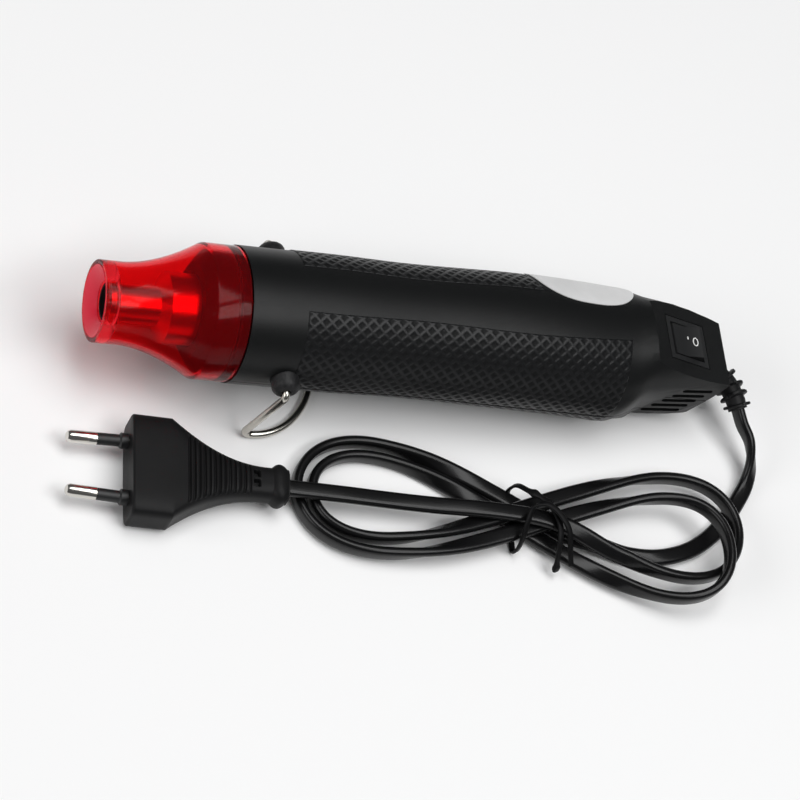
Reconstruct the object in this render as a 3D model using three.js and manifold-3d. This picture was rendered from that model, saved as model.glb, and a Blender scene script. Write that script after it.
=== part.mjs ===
// Mini hot air tool: tinted nozzle cover, round barrel, sloping tail with a rocker switch,
// wire stand, and a flat mains cord tied in a figure of eight that ends in a two-pin plug.
// Millimetres, +Z up. In its own group the tool's axis is X: nozzle at -X, cord at +X.
import * as THREE from "three";
import { mergeVertices } from "three/addons/utils/BufferGeometryUtils.js";
import Module from "manifold-3d";

const wasm = await Module();
wasm.setup();

// Fits shared by all pieces
const clearance = 0.3;
const wall = 2.2;
const degree = Math.PI / 180;

// Barrel housing
const collarRadius = 21.3;
const gripRadius = 20.9;
const rearRadius = 21.6;
const collarLength = 30;
const gripWaistAt = 56;
const barrelLength = 131;
const rearStart = barrelLength - 31;
const droopStart = barrelLength - 47;
const rearDroop = 2.8;
const splitHeight = -5.2;

// Tail with the sloping flat
const shoulderLength = 8.5;
const tailLength = 40;
const tailEnd = barrelLength + tailLength;
const shoulderEnd = barrelLength + shoulderLength;
const tailFrontHalfWidth = 17.6;
const tailRearHalfWidth = 11.8;
const tailDepth = 18.6;
const flatSlope = 18.5 * degree;
const flatRearHeight = 4.8;
const endSlant = 20 * degree;
const tailTopPower = 2.2;
const tailFloorPower = 5;
const stepDraft = 15 * degree;
const housingSides = 40;

// Vent slots in recessed walls under a lip on both sides of the tail
const ventWallAt = 12.4;
const ventLip = [
  [barrelLength + 8, -16],
  [barrelLength + 9, -8.4],
  [barrelLength + 13.9, -1.3],
  [barrelLength + 21.4, 5],
  [barrelLength + 29.2, 4.3],
  [tailEnd + 6, 3.4],
];
const slotCount = 5;
const slotPitch = 3.5;
const slotWidth = 1.9;
const topSlotHeight = 0.3;
const topSlotStart = tailEnd - 15;
const slotStartStep = 2.1;
const slotEndMargin = 3;
const slotTilt = 6 * degree;

// Nozzle cover and the hot air path
const coverLength = 43.2;
const noseRadius = 12.6;
const coverRadius = 21;
const coverTaperStart = 7.2;
const coverTaperEnd = 11;
const coverTaperPower = 1.8;
const coverWall = 1.6;
const dishDepth = 3.2;
const dishRimWidth = 1.1;
const spigotLength = 5;
const tubeWall = 0.7;
const tubeFrontRadius = 6;
const tubeRearRadius = 11;
const tubeStepAt = -24;
const tubeEnd = 22;
const bulkheadReach = 13;
const bulkheadChamfer = 4;
const bulkheadOverhang = 3.3;
const sleeveWall = 0.6;
const sleeveHalfLength = 20;
const formerThickness = 1.2;
const formerHalfLength = 18;
const coilInset = 2.8;
const coilRadius = tubeRearRadius - coilInset;
const formerInset = 0.8;
const formerRadius = coilRadius - formerInset;
const coilWireRadius = 0.35;
const coilTurns = 9;
const coilHalfLength = 16;
const cutoutRadius = 1.4;
const cutoutLength = 8.4;
const cutoutHeight = 14.5;

// Fan and motor
const shaftRadius = 1;
const fanStart = 27;
const fanDepth = 8;
const fanRadius = 15.5;
const fanHubRadius = 5;
const bladeCount = 7;
const bladeThickness = 0.9;
const bladePitch = 38 * degree;
const motorStart = 38;
const motorLength = 28;
const motorRadius = 12.2;
const motorBossRadius = 4;
const motorBossLength = 1.8;
const mountStart = 47;
const mountDepth = 8;
const boardThickness = 1.6;
const boardWidth = 18;
const boardHeight = 14;
const diodeRadius = 1.2;
const diodeLength = 6;
const diodePitch = 4;

// Screws that hold the shells together
const screwRadius = 1.2;
const screwHeadRadius = 2.5;
const screwHeadHeight = 2;
const screwTop = 4;
const screwColumnRadius = 3.5;
const barrelScrewAt = barrelLength - 45;
const barrelScrewSide = 14.3;
const barrelScrewSeat = -11.6;
const tailScrewAt = barrelLength + 8;
const tailScrewSide = 6;
const tailScrewSeat = -12.2;

// Rocker switch on the sloping flat
const switchAt = barrelLength + 23.2;
const rockerEndRadius = 6.5;
const rockerWidth = 11;
const rockerPivotDepth = 2.6;
const rockerValley = 0.1;
const rockerTilt = 11 * degree;
const rockerPlay = 0.4;
const rockerPinRadius = 0.8;
const switchWall = 0.8;
const switchDepth = 11;
const bezelMargin = 1;
const bezelThickness = 1;
const terminalWidth = 3.2;
const terminalThickness = 0.8;
const terminalLength = 4.6;
const terminalSpacing = 7;
const wireRadius = 0.9;

// Pivot bosses and wire stand
const hingeAt = 16;
const hingeHeight = 29.3;
const bossRadius = 4.4;
const bossReach = 25.9;
const bossFlangeRadius = 5.8;
const bossFlangeInner = 16.4;
const bossFlangeThickness = 1.4;
const bossBoreDepth = 5.1;
const standWireRadius = 1.2;
const standHalfWidth = bossReach + standWireRadius + clearance;
const standFootHalfWidth = standHalfWidth - 1.3;
const standLean = 11.1 * degree;
const standFootReach = 25.2;
const standElbowRadius = 1.8;
const standHeelRadius = 2.6;

// Bare label on the barrel
const labelCentreAt = barrelLength - 14.4;
const labelHalfLength = 18.3;
const labelCentreAngle = 52 * degree;
const labelHalfAngle = 39 * degree;
const labelThickness = 0.3;
const labelGap = 0.15;
const labelPower = 2.5;

// Strain relief, bent aside and down from its seat in the end wall
const reliefStraight = 4.5;
const reliefBendForward = 9.6;
const reliefBendAside = 3.2;
const reliefBendDrop = 2.5;
const reliefTipForward = 13.3;
const reliefTipAside = 12.9;
const reliefTipDrop = 3.7;
const reliefTipStraight = 4;
const reliefFinWidth = 1.1;
const reliefNeckRadius = 3.6;
const reliefTipRadius = 3.2;
const reliefFlangeRadius = 6.2;
const reliefFlangeThickness = 1.6;
const reliefFinRadius = 5.5;
const reliefFinTaper = 0.9;
const reliefFinCount = 7;
const reliefTipMargin = 0.8;

// Flat twin cord
const cordWidth = 5.6;
const cordThickness = 3;

// Figure of eight hank, in plan about its waist, in the route's own frame
const routeExitAt = 180.3;
const hankWaist = new THREE.Vector2(102.7, -52.5);
const hankTurn = -6 * degree;
const hankEnd = 1.93;
const stepsPerLobe = 24;

// Twist tie round the waist
const tieWidth = 2;
const tieThickness = 0.9;

// Two-pin plug
const plugFace = new THREE.Vector3(-29, -43.5, 7);
const plugTurn = -4.5 * degree;
const plugLift = 1.3 * degree;
const plugHalfWidth = 17;
const plugHalfThickness = 6.85;
const plugBodyLength = 12.6;
const plugLength = 50;
const plugTaperEnd = 43;
const plugNeckHalfWidth = 4.6;
const plugNeckHalfThickness = 3.6;
const plugTaperPower = 2.1;
const plugBeadSwell = 1.3;
const plugBeadAt = 46.3;
const plugBeadHalfLength = 2.4;
const pinLength = 19.5;
const pinRadius = 2;
const pinCoreRadius = 1.2;
const pinCoreDepth = 4;
const pinSpacing = 19.2;
const pinTipSpacing = 18;
const sleeveLength = 9.6;
const sleeveRadius = 1.9;
const sleeveCollarRadius = 2.5;
const sleeveCollarLength = 2.4;

// Finishes: colour, roughness, metalness
const finishes = {
  housing: [0x1b1c1d, 0.62, 0],
  cover: [0xb01522, 0.2, 0],
  steel: [0xb9bcc0, 0.3, 1],
  mica: [0xb9a780, 0.7, 0],
  ceramic: [0xe6e1d6, 0.8, 0],
  nichrome: [0x8c857c, 0.45, 1],
  glossBlack: [0x121314, 0.35, 0],
  motor: [0x9b9ea2, 0.4, 1],
  fan: [0x2d2f31, 0.5, 0],
  board: [0x5a7a3a, 0.6, 0],
  brass: [0xc2a14d, 0.35, 1],
  label: [0xf2f2ef, 0.45, 0],
  rubber: [0x111111, 0.75, 0],
  wire: [0x6b3d1e, 0.55, 0],
};

const root = new THREE.Group();
const assembly = new THREE.Group();
const tool = new THREE.Group();
const stand = new THREE.Group();
const rear = new THREE.Group();
const cord = new THREE.Group();
const plug = new THREE.Group();
root.add(assembly);
assembly.add(tool, stand, rear, cord);
cord.add(plug);

const vec = (x, y, z) => new THREE.Vector3(x, y, z);
const mix = (a, b, t) => a + (b - a) * t;
const ease = (t) => (1 - Math.cos(Math.PI * Math.min(Math.max(t, 0), 1))) / 2;

// A closed geometry as a solid with its faces turned outward.
function solid(geometry) {
  const bare = geometry.clone();
  bare.deleteAttribute("normal");
  bare.deleteAttribute("uv");
  const merged = mergeVertices(bare, 1e-4);
  const corners = merged.index.array;
  const kept = [];
  let volume = 0;
  const [a, b, c] = [vec(), vec(), vec()];
  for (let i = 0; i < corners.length; i += 3) {
    const [p, q, r] = [corners[i], corners[i + 1], corners[i + 2]];
    if (p === q || q === r || r === p) continue;
    kept.push(p, q, r);
    a.fromBufferAttribute(merged.attributes.position, p);
    b.fromBufferAttribute(merged.attributes.position, q);
    c.fromBufferAttribute(merged.attributes.position, r);
    volume += a.dot(b.cross(c));
  }
  if (volume < 0) kept.reverse();
  return new wasm.Manifold(
    new wasm.Mesh({
      numProp: 3,
      vertProperties: merged.attributes.position.array,
      triVerts: new Uint32Array(kept),
    }),
  );
}

// Puts a solid into a group as a named mesh with its own material.
function piece(group, name, made, finish) {
  const mesh = made.getMesh();
  const geometry = new THREE.BufferGeometry();
  geometry.setAttribute("position", new THREE.BufferAttribute(mesh.vertProperties, 3));
  geometry.setIndex(new THREE.BufferAttribute(mesh.triVerts, 1));
  const [color, roughness, metalness] = finishes[finish];
  const material = new THREE.MeshStandardMaterial({ color, roughness, metalness });
  const node = new THREE.Mesh(geometry, material);
  node.name = name;
  group.add(node);
  return node;
}

// A profile of [along X, radius] pairs turned about X.
function turned(profile, sides = 32) {
  const closed = [...profile, profile[0]];
  const points = closed.map(([x, r]) => new THREE.Vector2(r, x));
  return solid(new THREE.LatheGeometry(points, sides).rotateZ(-Math.PI / 2));
}

// A round bar between two points.
function bar(from, to, radius, sides = 24) {
  const along = to.clone().sub(from);
  const geometry = new THREE.CylinderGeometry(radius, radius, along.length(), sides);
  const turn = new THREE.Quaternion().setFromUnitVectors(vec(0, 1, 0), along.clone().normalize());
  geometry.applyQuaternion(turn);
  const middle = from.clone().lerp(to, 0.5);
  return solid(geometry.translate(middle.x, middle.y, middle.z));
}

// A box given by its size and centre.
function block(size, centre) {
  return solid(new THREE.BoxGeometry(...size).translate(...centre));
}

// A closed skin over rings of equal point count, capped at both ends.
function loft(rings) {
  const count = rings[0].length;
  const positions = rings.flat().flatMap((p) => [p.x, p.y, p.z]);
  const faces = [];
  for (let i = 0; i + 1 < rings.length; i++) {
    for (let j = 0; j < count; j++) {
      const here = i * count + j;
      const beside = i * count + ((j + 1) % count);
      faces.push(here, beside, here + count, beside, beside + count, here + count);
    }
  }
  for (const [start, turn] of [[0, 1], [(rings.length - 1) * count, -1]]) {
    const ring = rings[start / count];
    const centre = ring.reduce((sum, p) => sum.add(p), vec(0, 0, 0)).divideScalar(count);
    const middle = positions.length / 3;
    positions.push(centre.x, centre.y, centre.z);
    for (let j = 0; j < count; j++) {
      const pair = [start + ((j + 1) % count), start + j];
      if (turn < 0) pair.reverse();
      faces.push(middle, ...pair);
    }
  }
  const geometry = new THREE.BufferGeometry();
  geometry.setAttribute("position", new THREE.Float32BufferAttribute(positions, 3));
  geometry.setIndex(faces);
  return geometry;
}

// The direction of travel at each point of a path.
function tangents(points) {
  return points.map((p, i) => {
    const before = points[Math.max(i - 1, 0)];
    const after = points[Math.min(i + 1, points.length - 1)];
    return after.clone().sub(before).normalize();
  });
}

// Frames whose side stays level, for what lies on the table.
function levelFrames(points) {
  return tangents(points).map((along) => {
    const side = along.clone().cross(vec(0, 0, 1)).normalize();
    return { side, rise: side.clone().cross(along) };
  });
}

// Frames carried along a path without twist, for round wires.
function carriedFrames(points, start) {
  let side = start;
  return tangents(points).map((along) => {
    side = side.clone().addScaledVector(along, -side.dot(along)).normalize();
    return { side, rise: side.clone().cross(along) };
  });
}

// Frames that keep one side toward a chosen direction, for a flat band.
function facedFrames(points, facing) {
  return tangents(points).map((along) => {
    const side = facing.clone().addScaledVector(along, -facing.dot(along)).normalize();
    return { side, rise: side.clone().cross(along) };
  });
}

// A section of [side, rise] pairs swept along framed points.
function sweep(points, frames, sectionAt) {
  const rings = points.map((p, i) =>
    sectionAt(i).map(([s, r]) =>
      p.clone().addScaledVector(frames[i].side, s).addScaledVector(frames[i].rise, r),
    ),
  );
  return solid(loft(rings));
}

// A regular section of given radius.
function roundSection(radius, sides) {
  return Array.from({ length: sides }, (_, k) => {
    const turn = (2 * Math.PI * k) / sides;
    return [radius * Math.cos(turn), radius * Math.sin(turn)];
  });
}

// A flat cord's section, rolled about the direction of travel.
function flatSection(width, thickness, roll) {
  const half = width / 2;
  const shoulder = half - thickness * 0.45;
  const top = thickness / 2;
  const corners = [
    [half, 0],
    [shoulder, top],
    [-shoulder, top],
    [-half, 0],
    [-shoulder, -top],
    [shoulder, -top],
  ];
  return corners.map(([s, r]) => [
    s * Math.cos(roll) - r * Math.sin(roll),
    s * Math.sin(roll) + r * Math.cos(roll),
  ]);
}

// Evenly spaced points on a smooth curve through chosen points.
function smooth(points, steps) {
  return new THREE.CatmullRomCurve3(points, false, "centripetal").getSpacedPoints(steps);
}

// A corner between two straight runs rounded to an arc.
function roundedCorner(before, corner, after, radius, steps) {
  const inward = before.clone().sub(corner).normalize();
  const outward = after.clone().sub(corner).normalize();
  const half = inward.angleTo(outward) / 2;
  const bisector = inward.clone().add(outward).normalize();
  const centre = corner.clone().addScaledVector(bisector, radius / Math.sin(half));
  const first = corner.clone().addScaledVector(inward, radius / Math.tan(half)).sub(centre);
  const last = corner.clone().addScaledVector(outward, radius / Math.tan(half)).sub(centre);
  const axis = first.clone().cross(last).normalize();
  const sweepAngle = first.angleTo(last);
  return Array.from({ length: steps + 1 }, (_, k) =>
    first.clone().applyAxisAngle(axis, (sweepAngle * k) / steps).add(centre),
  );
}

// Housing sections: half-width, top, bottom and the powers of both halves at a place along the axis.
const flatHeight = (x) => flatRearHeight + (tailEnd - x) * Math.tan(flatSlope);

function barrelRadius(x) {
  if (x < gripWaistAt) {
    return mix(collarRadius, gripRadius, ease((x - collarLength) / (gripWaistAt - collarLength)));
  }
  return mix(gripRadius, rearRadius, ease((x - gripWaistAt) / (rearStart - gripWaistAt)));
}

function barrelDroop(x) {
  return rearDroop * Math.max((x - droopStart) / (barrelLength - droopStart), 0) ** 2;
}

function housingSection(x) {
  const reach = Math.min(x, barrelLength);
  const radius = barrelRadius(reach);
  const droop = barrelDroop(reach);
  const ends = { top: radius - droop, bottom: -radius - droop };
  const round = { half: radius, ...ends, topPower: 2, floorPower: 2 };
  if (x <= barrelLength) return round;
  const reached = (x - shoulderEnd) / (tailEnd - shoulderEnd);
  const square = {
    half: mix(tailFrontHalfWidth, tailRearHalfWidth, Math.max(reached, 0)),
    top: round.top,
    bottom: -tailDepth,
    topPower: tailTopPower,
    floorPower: tailFloorPower,
  };
  // The floor rises from the barrel's end at once, the sides draw in softly, the corners form last.
  const delay = { half: 1.5, top: 1, bottom: 1, topPower: 2, floorPower: 3 };
  const blend = Math.min((x - barrelLength) / shoulderLength, 1);
  const blended = (key) => [key, mix(round[key], square[key], blend ** delay[key])];
  return Object.fromEntries(Object.keys(round).map(blended));
}

function housingRing(x, inset) {
  const { half, top, bottom, topPower, floorPower } = housingSection(x);
  const middle = (top + bottom) / 2;
  const rise = (top - bottom) / 2 - inset;
  const bend = (v, power) => Math.sign(v) * Math.abs(v) ** (2 / power);
  return Array.from({ length: housingSides }, (_, k) => {
    const turn = (2 * Math.PI * k) / housingSides;
    const power = Math.sin(turn) > 0 ? topPower : floorPower;
    const across = (half - inset) * bend(Math.cos(turn), power);
    return vec(x, across, middle + rise * bend(Math.sin(turn), power));
  });
}

// Housing shells
const along = (from, to, parts) =>
  Array.from({ length: parts }, (_, k) => mix(from, to, (k + 1) / parts));
const places = [
  collarLength,
  ...along(collarLength, gripWaistAt, 2),
  ...along(gripWaistAt, rearStart, 3),
  ...along(rearStart, barrelLength, 3),
  ...along(barrelLength, shoulderEnd, 3),
  tailEnd + 3,
];
const endFrame = new THREE.Matrix4()
  .makeRotationY(endSlant)
  .setPosition(tailEnd, 0, flatRearHeight);
const endCut = (inset) => block([40, 80, 80], [20 - inset, 0, 0]).transform(endFrame.elements);

// A block with an outline of [along, up], standing between two distances from the middle plane.
function sideBlock(outline, near, far, side) {
  const options = { depth: far - near, bevelEnabled: false, curveSegments: 3 };
  const made = new THREE.ExtrudeGeometry(outline, options);
  return solid(made.rotateX(Math.PI / 2).translate(0, side > 0 ? far : -near, 0));
}

// What is cut away over the flat, behind the step where the round barrel ends.
function flatCut(inset) {
  const start = shoulderEnd - inset;
  const end = tailEnd + 20;
  const ceiling = 60;
  const floor = (x) => flatHeight(x) - inset / Math.cos(flatSlope);
  const lean = Math.tan(stepDraft) * (ceiling - floor(start));
  const outline = new THREE.Shape([
    new THREE.Vector2(start, floor(start)),
    new THREE.Vector2(end, floor(end)),
    new THREE.Vector2(end, ceiling),
    new THREE.Vector2(start - lean, ceiling),
  ]);
  return sideBlock(outline, -40, 40, 1);
}

// The recesses under both lips; an inset moves their walls into the housing.
function ventCut(inset) {
  const lip = ventLip.map(([x, z]) => new THREE.Vector2(x - inset, z + inset));
  const below = [new THREE.Vector2(tailEnd + 6, -40), new THREE.Vector2(lip[0].x, -40)];
  const outline = new THREE.Shape([...lip, ...below]);
  return [1, -1]
    .map((side) => sideBlock(outline, ventWallAt - inset, 40, side))
    .reduce((all, one) => all.add(one));
}
const shaped = (rings, inset) =>
  solid(loft(rings)).subtract(endCut(inset)).subtract(flatCut(inset)).subtract(ventCut(inset));
const outer = shaped([0, ...places].map((x) => housingRing(x, 0)), 0);
const inner = shaped([-1, ...places].map((x) => housingRing(x, wall)), wall);

const screws = [];
for (const side of [1, -1]) {
  screws.push({ x: barrelScrewAt, y: side * barrelScrewSide, seat: barrelScrewSeat });
  screws.push({ x: tailScrewAt, y: side * tailScrewSide, seat: tailScrewSeat });
}
let hollow = outer.subtract(inner);
for (const { x, y, seat } of screws) {
  hollow = hollow.add(bar(vec(x, y, -40), vec(x, y, 40), screwColumnRadius, 16).intersect(outer));
  const holeRadius = screwRadius + clearance;
  const holeTop = vec(x, y, screwTop + clearance);
  hollow = hollow.subtract(bar(vec(x, y, seat - 20), holeTop, holeRadius, 12));
  hollow = hollow.subtract(bar(vec(x, y, -40), vec(x, y, seat), screwHeadRadius + clearance, 16));
}

// The switch stands in a frame on the sloping flat, its Z square to the flat.
const switchFrame = new THREE.Matrix4()
  .makeRotationY(flatSlope)
  .setPosition(switchAt, 0, flatHeight(switchAt));
const openingLength = 2 * (rockerEndRadius + rockerPlay);
const openingWidth = rockerWidth + 2 * rockerPlay;
const bodyLength = openingLength + 2 * switchWall;
const bodyWidth = openingWidth + 2 * switchWall;
const bezelLength = bodyLength + 2 * bezelMargin;
const bezelWidth = bodyWidth + 2 * bezelMargin;
const onFlat = (made) => made.transform(switchFrame.elements);
const recess = block(
  [bezelLength + 2 * clearance, bezelWidth + 2 * clearance, 2 * (bezelThickness + clearance)],
  [0, 0, 0],
);
const opening = block([bodyLength + 2 * clearance, bodyWidth + 2 * clearance, 14], [0, 0, 0]);
hollow = hollow.subtract(onFlat(recess)).subtract(onFlat(opening));

// Vent slots, cut through the recessed walls
for (let i = 0; i < slotCount; i++) {
  const height = topSlotHeight - i * slotPitch;
  const start = topSlotStart - i * slotStartStep;
  const end = tailEnd - Math.tan(endSlant) * (flatRearHeight - height) - slotEndMargin;
  const radius = slotWidth / 2;
  const rise = (Math.tan(slotTilt) * (end - start)) / 2;
  const outline = new THREE.Shape();
  const quarter = Math.PI / 2;
  outline.absarc(end - radius, height + rise, radius, slotTilt - quarter, slotTilt + quarter);
  outline.absarc(start + radius, height - rise, radius, slotTilt + quarter, slotTilt + 3 * quarter);
  for (const side of [1, -1]) {
    const slot = sideBlock(outline, ventWallAt - wall - 1, ventWallAt + 1, side);
    hollow = hollow.subtract(slot);
  }
}

// Holes for the bosses and the strain relief
const reliefDrop = flatRearHeight - splitHeight;
const reliefSeat = vec(tailEnd - Math.tan(endSlant) * reliefDrop, 0, splitHeight);
const reliefOut = vec(Math.cos(endSlant), 0, -Math.sin(endSlant));
const fromSeat = (distance) => reliefSeat.clone().addScaledVector(reliefOut, distance);
hollow = hollow
  .subtract(bar(vec(hingeAt, -40, 0), vec(hingeAt, 40, 0), bossRadius + clearance))
  .subtract(bar(fromSeat(-2 * wall), fromSeat(wall), reliefNeckRadius + clearance));
const above = block([400, 200, 100], [60, 0, splitHeight + clearance / 2 + 50]);
const below = block([400, 200, 100], [60, 0, splitHeight - clearance / 2 - 50]);
piece(tool, "upper_shell", hollow.intersect(above), "housing");
piece(tool, "lower_shell", hollow.intersect(below), "housing");

screws.forEach(({ x, y, seat }, i) => {
  const head = seat - clearance;
  const shank = bar(vec(x, y, head - 0.5), vec(x, y, screwTop), screwRadius, 12);
  const cap = bar(vec(x, y, head - screwHeadHeight), vec(x, y, head), screwHeadRadius, 16);
  piece(tool, `shell_screw_${i + 1}`, shank.add(cap), "steel");
});

// Nozzle cover: outer skin, front dish with the air hole, spigot held by the shells
const noseEnd = -coverLength;
const airHoleRadius = tubeFrontRadius + clearance;
const spigotRadius = collarRadius - wall - 2 * clearance;
const taperFrom = noseEnd + coverTaperStart;
function coverOuter(x) {
  const t = Math.min(Math.max((x - taperFrom) / (-coverTaperEnd - taperFrom), 0), 1);
  return mix(noseRadius, coverRadius, t ** coverTaperPower);
}
const coverPlaces = [taperFrom, ...along(taperFrom, -coverTaperEnd, 6)];
const coverProfile = [
  [noseEnd, noseRadius],
  ...coverPlaces.map((x) => [x, coverOuter(x)]),
  [-clearance, coverRadius],
  [-clearance, spigotRadius],
  [spigotLength, spigotRadius],
  [spigotLength, spigotRadius - coverWall],
  [-clearance - coverWall, spigotRadius - coverWall],
  [-clearance - 2 * coverWall, coverRadius - coverWall],
  ...coverPlaces.toReversed().map((x) => [x, coverOuter(x) - coverWall]),
  [noseEnd + dishDepth + coverWall, noseRadius - coverWall],
  [noseEnd + dishDepth + coverWall, airHoleRadius],
  [noseEnd + dishDepth, airHoleRadius],
  [noseEnd, noseRadius - dishRimWidth],
];
piece(tool, "nozzle_cover", turned(coverProfile, 36), "cover");

// Stepped air tube, its insulation and the heater inside
const tubeStart = noseEnd + dishDepth + clearance;
const tubeProfile = [
  [tubeStart, tubeFrontRadius],
  [tubeStepAt, tubeFrontRadius],
  [tubeStepAt + 1, tubeFrontRadius + 2.6],
  [tubeStepAt + 2, tubeRearRadius],
  [tubeEnd, tubeRearRadius],
  [tubeEnd, tubeRearRadius - tubeWall],
  [tubeStepAt + 2.5, tubeRearRadius - tubeWall],
  [tubeStepAt + 1.5, tubeFrontRadius + 2],
  [tubeStepAt + tubeWall, tubeFrontRadius - tubeWall],
  [tubeStart, tubeFrontRadius - tubeWall],
];
piece(tool, "air_tube", turned(tubeProfile), "steel");

// Black bulkhead round the tube, its chamfered front standing inside the cover's wide ring
const bulkheadEnd = spigotLength + bulkheadOverhang;
const bulkheadBack = spigotRadius - coverWall - clearance;
const bulkheadFront = coverRadius - coverWall - 2 * clearance;
const bulkheadProfile = [
  [-bulkheadReach, tubeRearRadius + clearance],
  [-bulkheadReach, bulkheadFront - bulkheadChamfer],
  [-bulkheadReach + bulkheadChamfer * 0.7, bulkheadFront],
  [-2 * coverWall - 2 * clearance, bulkheadFront],
  [-coverWall - 2 * clearance, bulkheadBack],
  [bulkheadEnd, bulkheadBack],
  [bulkheadEnd, tubeRearRadius + clearance],
];
piece(tool, "front_bulkhead", turned(bulkheadProfile), "glossBlack");

const micaRadius = tubeRearRadius - tubeWall - clearance;
const micaProfile = [
  [-sleeveHalfLength, micaRadius],
  [sleeveHalfLength, micaRadius],
  [sleeveHalfLength, micaRadius - sleeveWall],
  [-sleeveHalfLength, micaRadius - sleeveWall],
];
piece(tool, "mica_sleeve", turned(micaProfile), "mica");
const formerSize = [2 * formerHalfLength, 2 * formerRadius, formerThickness];
const former = block(formerSize, [0, 0, 0]).add(
  block([formerSize[0], formerSize[2], formerSize[1]], [0, 0, 0]),
);
piece(tool, "heater_former", former, "ceramic");

const coilSteps = coilTurns * 8;
const coilPoints = Array.from({ length: coilSteps + 1 }, (_, k) => {
  const turn = (2 * Math.PI * k) / 8;
  const x = mix(-coilHalfLength, coilHalfLength, k / coilSteps);
  return vec(x, coilRadius * Math.cos(turn), coilRadius * Math.sin(turn));
});
const coilSection = roundSection(coilWireRadius, 4);
const coilFrames = carriedFrames(coilPoints, vec(1, 0, 0));
piece(tool, "heating_coil", sweep(coilPoints, coilFrames, () => coilSection), "nichrome");

const cutoutStart = bulkheadEnd + clearance;
const cutoutFrom = vec(cutoutStart, 0, cutoutHeight);
const cutoutTo = vec(cutoutStart + cutoutLength, 0, cutoutHeight);
piece(tool, "thermal_cutout", bar(cutoutFrom, cutoutTo, cutoutRadius, 16), "steel");

// Fan on the motor shaft
const boreRadius = shaftRadius + clearance;
const fanEnd = fanStart + fanDepth;
let impeller = bar(vec(fanStart, 0, 0), vec(fanEnd, 0, 0), fanHubRadius);
for (let i = 0; i < bladeCount; i++) {
  const span = fanRadius - fanHubRadius + 1;
  const blade = new THREE.BoxGeometry(fanDepth * 0.95, bladeThickness, span);
  blade.rotateZ(bladePitch);
  blade.translate((fanStart + fanEnd) / 2, 0, fanHubRadius - 1 + span / 2);
  impeller = impeller.add(solid(blade.rotateX((2 * Math.PI * i) / bladeCount)));
}
impeller = impeller.subtract(bar(vec(fanStart - 1, 0, 0), vec(fanEnd + 1, 0, 0), boreRadius));
piece(tool, "fan_impeller", impeller, "fan");
const shaftEnd = motorStart + 6;
const shaft = bar(vec(fanStart - 1.5, 0, 0), vec(shaftEnd, 0, 0), shaftRadius, 16);
piece(tool, "motor_shaft", shaft, "steel");

const motorEnd = motorStart + motorLength;
const motorProfile = [
  [motorStart - motorBossLength, boreRadius],
  [motorStart - motorBossLength, motorBossRadius],
  [motorStart, motorBossRadius],
  [motorStart, motorRadius],
  [motorEnd, motorRadius],
  [motorEnd, motorBossRadius],
  [motorEnd + motorBossLength, motorBossRadius],
  [motorEnd + motorBossLength, 0],
  [shaftEnd + clearance, 0],
  [shaftEnd + clearance, boreRadius],
];
piece(tool, "motor_body", turned(motorProfile), "motor");
const mountRadius = barrelRadius(mountStart + mountDepth) - wall - 2 * clearance;
const mountProfile = [
  [mountStart, mountRadius],
  [mountStart + mountDepth, mountRadius],
  [mountStart + mountDepth, motorRadius + clearance],
  [mountStart, motorRadius + clearance],
];
piece(tool, "motor_mount", turned(mountProfile), "fan");

const boardStart = motorEnd + motorBossLength + clearance;
const boardMiddle = boardStart + boardThickness / 2;
const board = block([boardThickness, boardWidth, boardHeight], [boardMiddle, 0, 0]);
piece(tool, "rectifier_board", board, "board");
for (let i = 0; i < 4; i++) {
  const x = boardStart + boardThickness + clearance + diodeRadius;
  const y = (i - 1.5) * diodePitch;
  const diode = bar(vec(x, y, -diodeLength / 2), vec(x, y, diodeLength / 2), diodeRadius, 12);
  piece(tool, `diode_${i + 1}`, diode, "glossBlack");
}

// Switch body with its bezel, and the rocker tilted to its resting side
const pinHole = bar(
  vec(0, -bodyWidth, -rockerPivotDepth),
  vec(0, bodyWidth, -rockerPivotDepth),
  rockerPinRadius + clearance,
  16,
);
const cavityDepth = switchDepth - switchWall;
const switchBody = block([bezelLength, bezelWidth, bezelThickness], [0, 0, -bezelThickness / 2])
  .add(block([bodyLength, bodyWidth, switchDepth], [0, 0, -switchDepth / 2]))
  .subtract(block([openingLength, openingWidth, 2 * cavityDepth], [0, 0, 0]))
  .subtract(pinHole);
piece(tool, "switch_body", onFlat(switchBody), "glossBlack");

const rockerOutline = new THREE.Shape();
const valley = rockerPivotDepth + rockerValley;
const tipAngle = Math.asin((valley * Math.cos(rockerTilt)) / rockerEndRadius) + rockerTilt;
const skirtAngle = -24 * degree;
rockerOutline.absarc(0, 0, rockerEndRadius, skirtAngle, tipAngle);
rockerOutline.lineTo(0, valley);
rockerOutline.absarc(0, 0, rockerEndRadius, Math.PI - tipAngle, Math.PI - skirtAngle);
const rockerSolid = new THREE.ExtrudeGeometry(rockerOutline, {
  depth: rockerWidth,
  bevelEnabled: false,
  curveSegments: 6,
});
rockerSolid.translate(0, 0, -rockerWidth / 2).rotateX(Math.PI / 2);
const pinReach = bodyWidth / 2;
const rockerPin = bar(vec(0, -pinReach, 0), vec(0, pinReach, 0), rockerPinRadius, 16);
const rocker = solid(rockerSolid).add(rockerPin);
const rockerFrame = new THREE.Matrix4()
  .makeRotationY(-rockerTilt)
  .setPosition(0, 0, -rockerPivotDepth);
piece(tool, "switch_rocker", onFlat(rocker.transform(rockerFrame.elements)), "glossBlack");

const terminalTop = -switchDepth - clearance;
[1, -1].forEach((side, i) => {
  const size = [terminalThickness, terminalWidth, terminalLength];
  const centre = [(side * terminalSpacing) / 2, 0, terminalTop - terminalLength / 2];
  piece(tool, `switch_terminal_${i + 1}`, onFlat(block(size, centre)), "brass");
});

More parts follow.
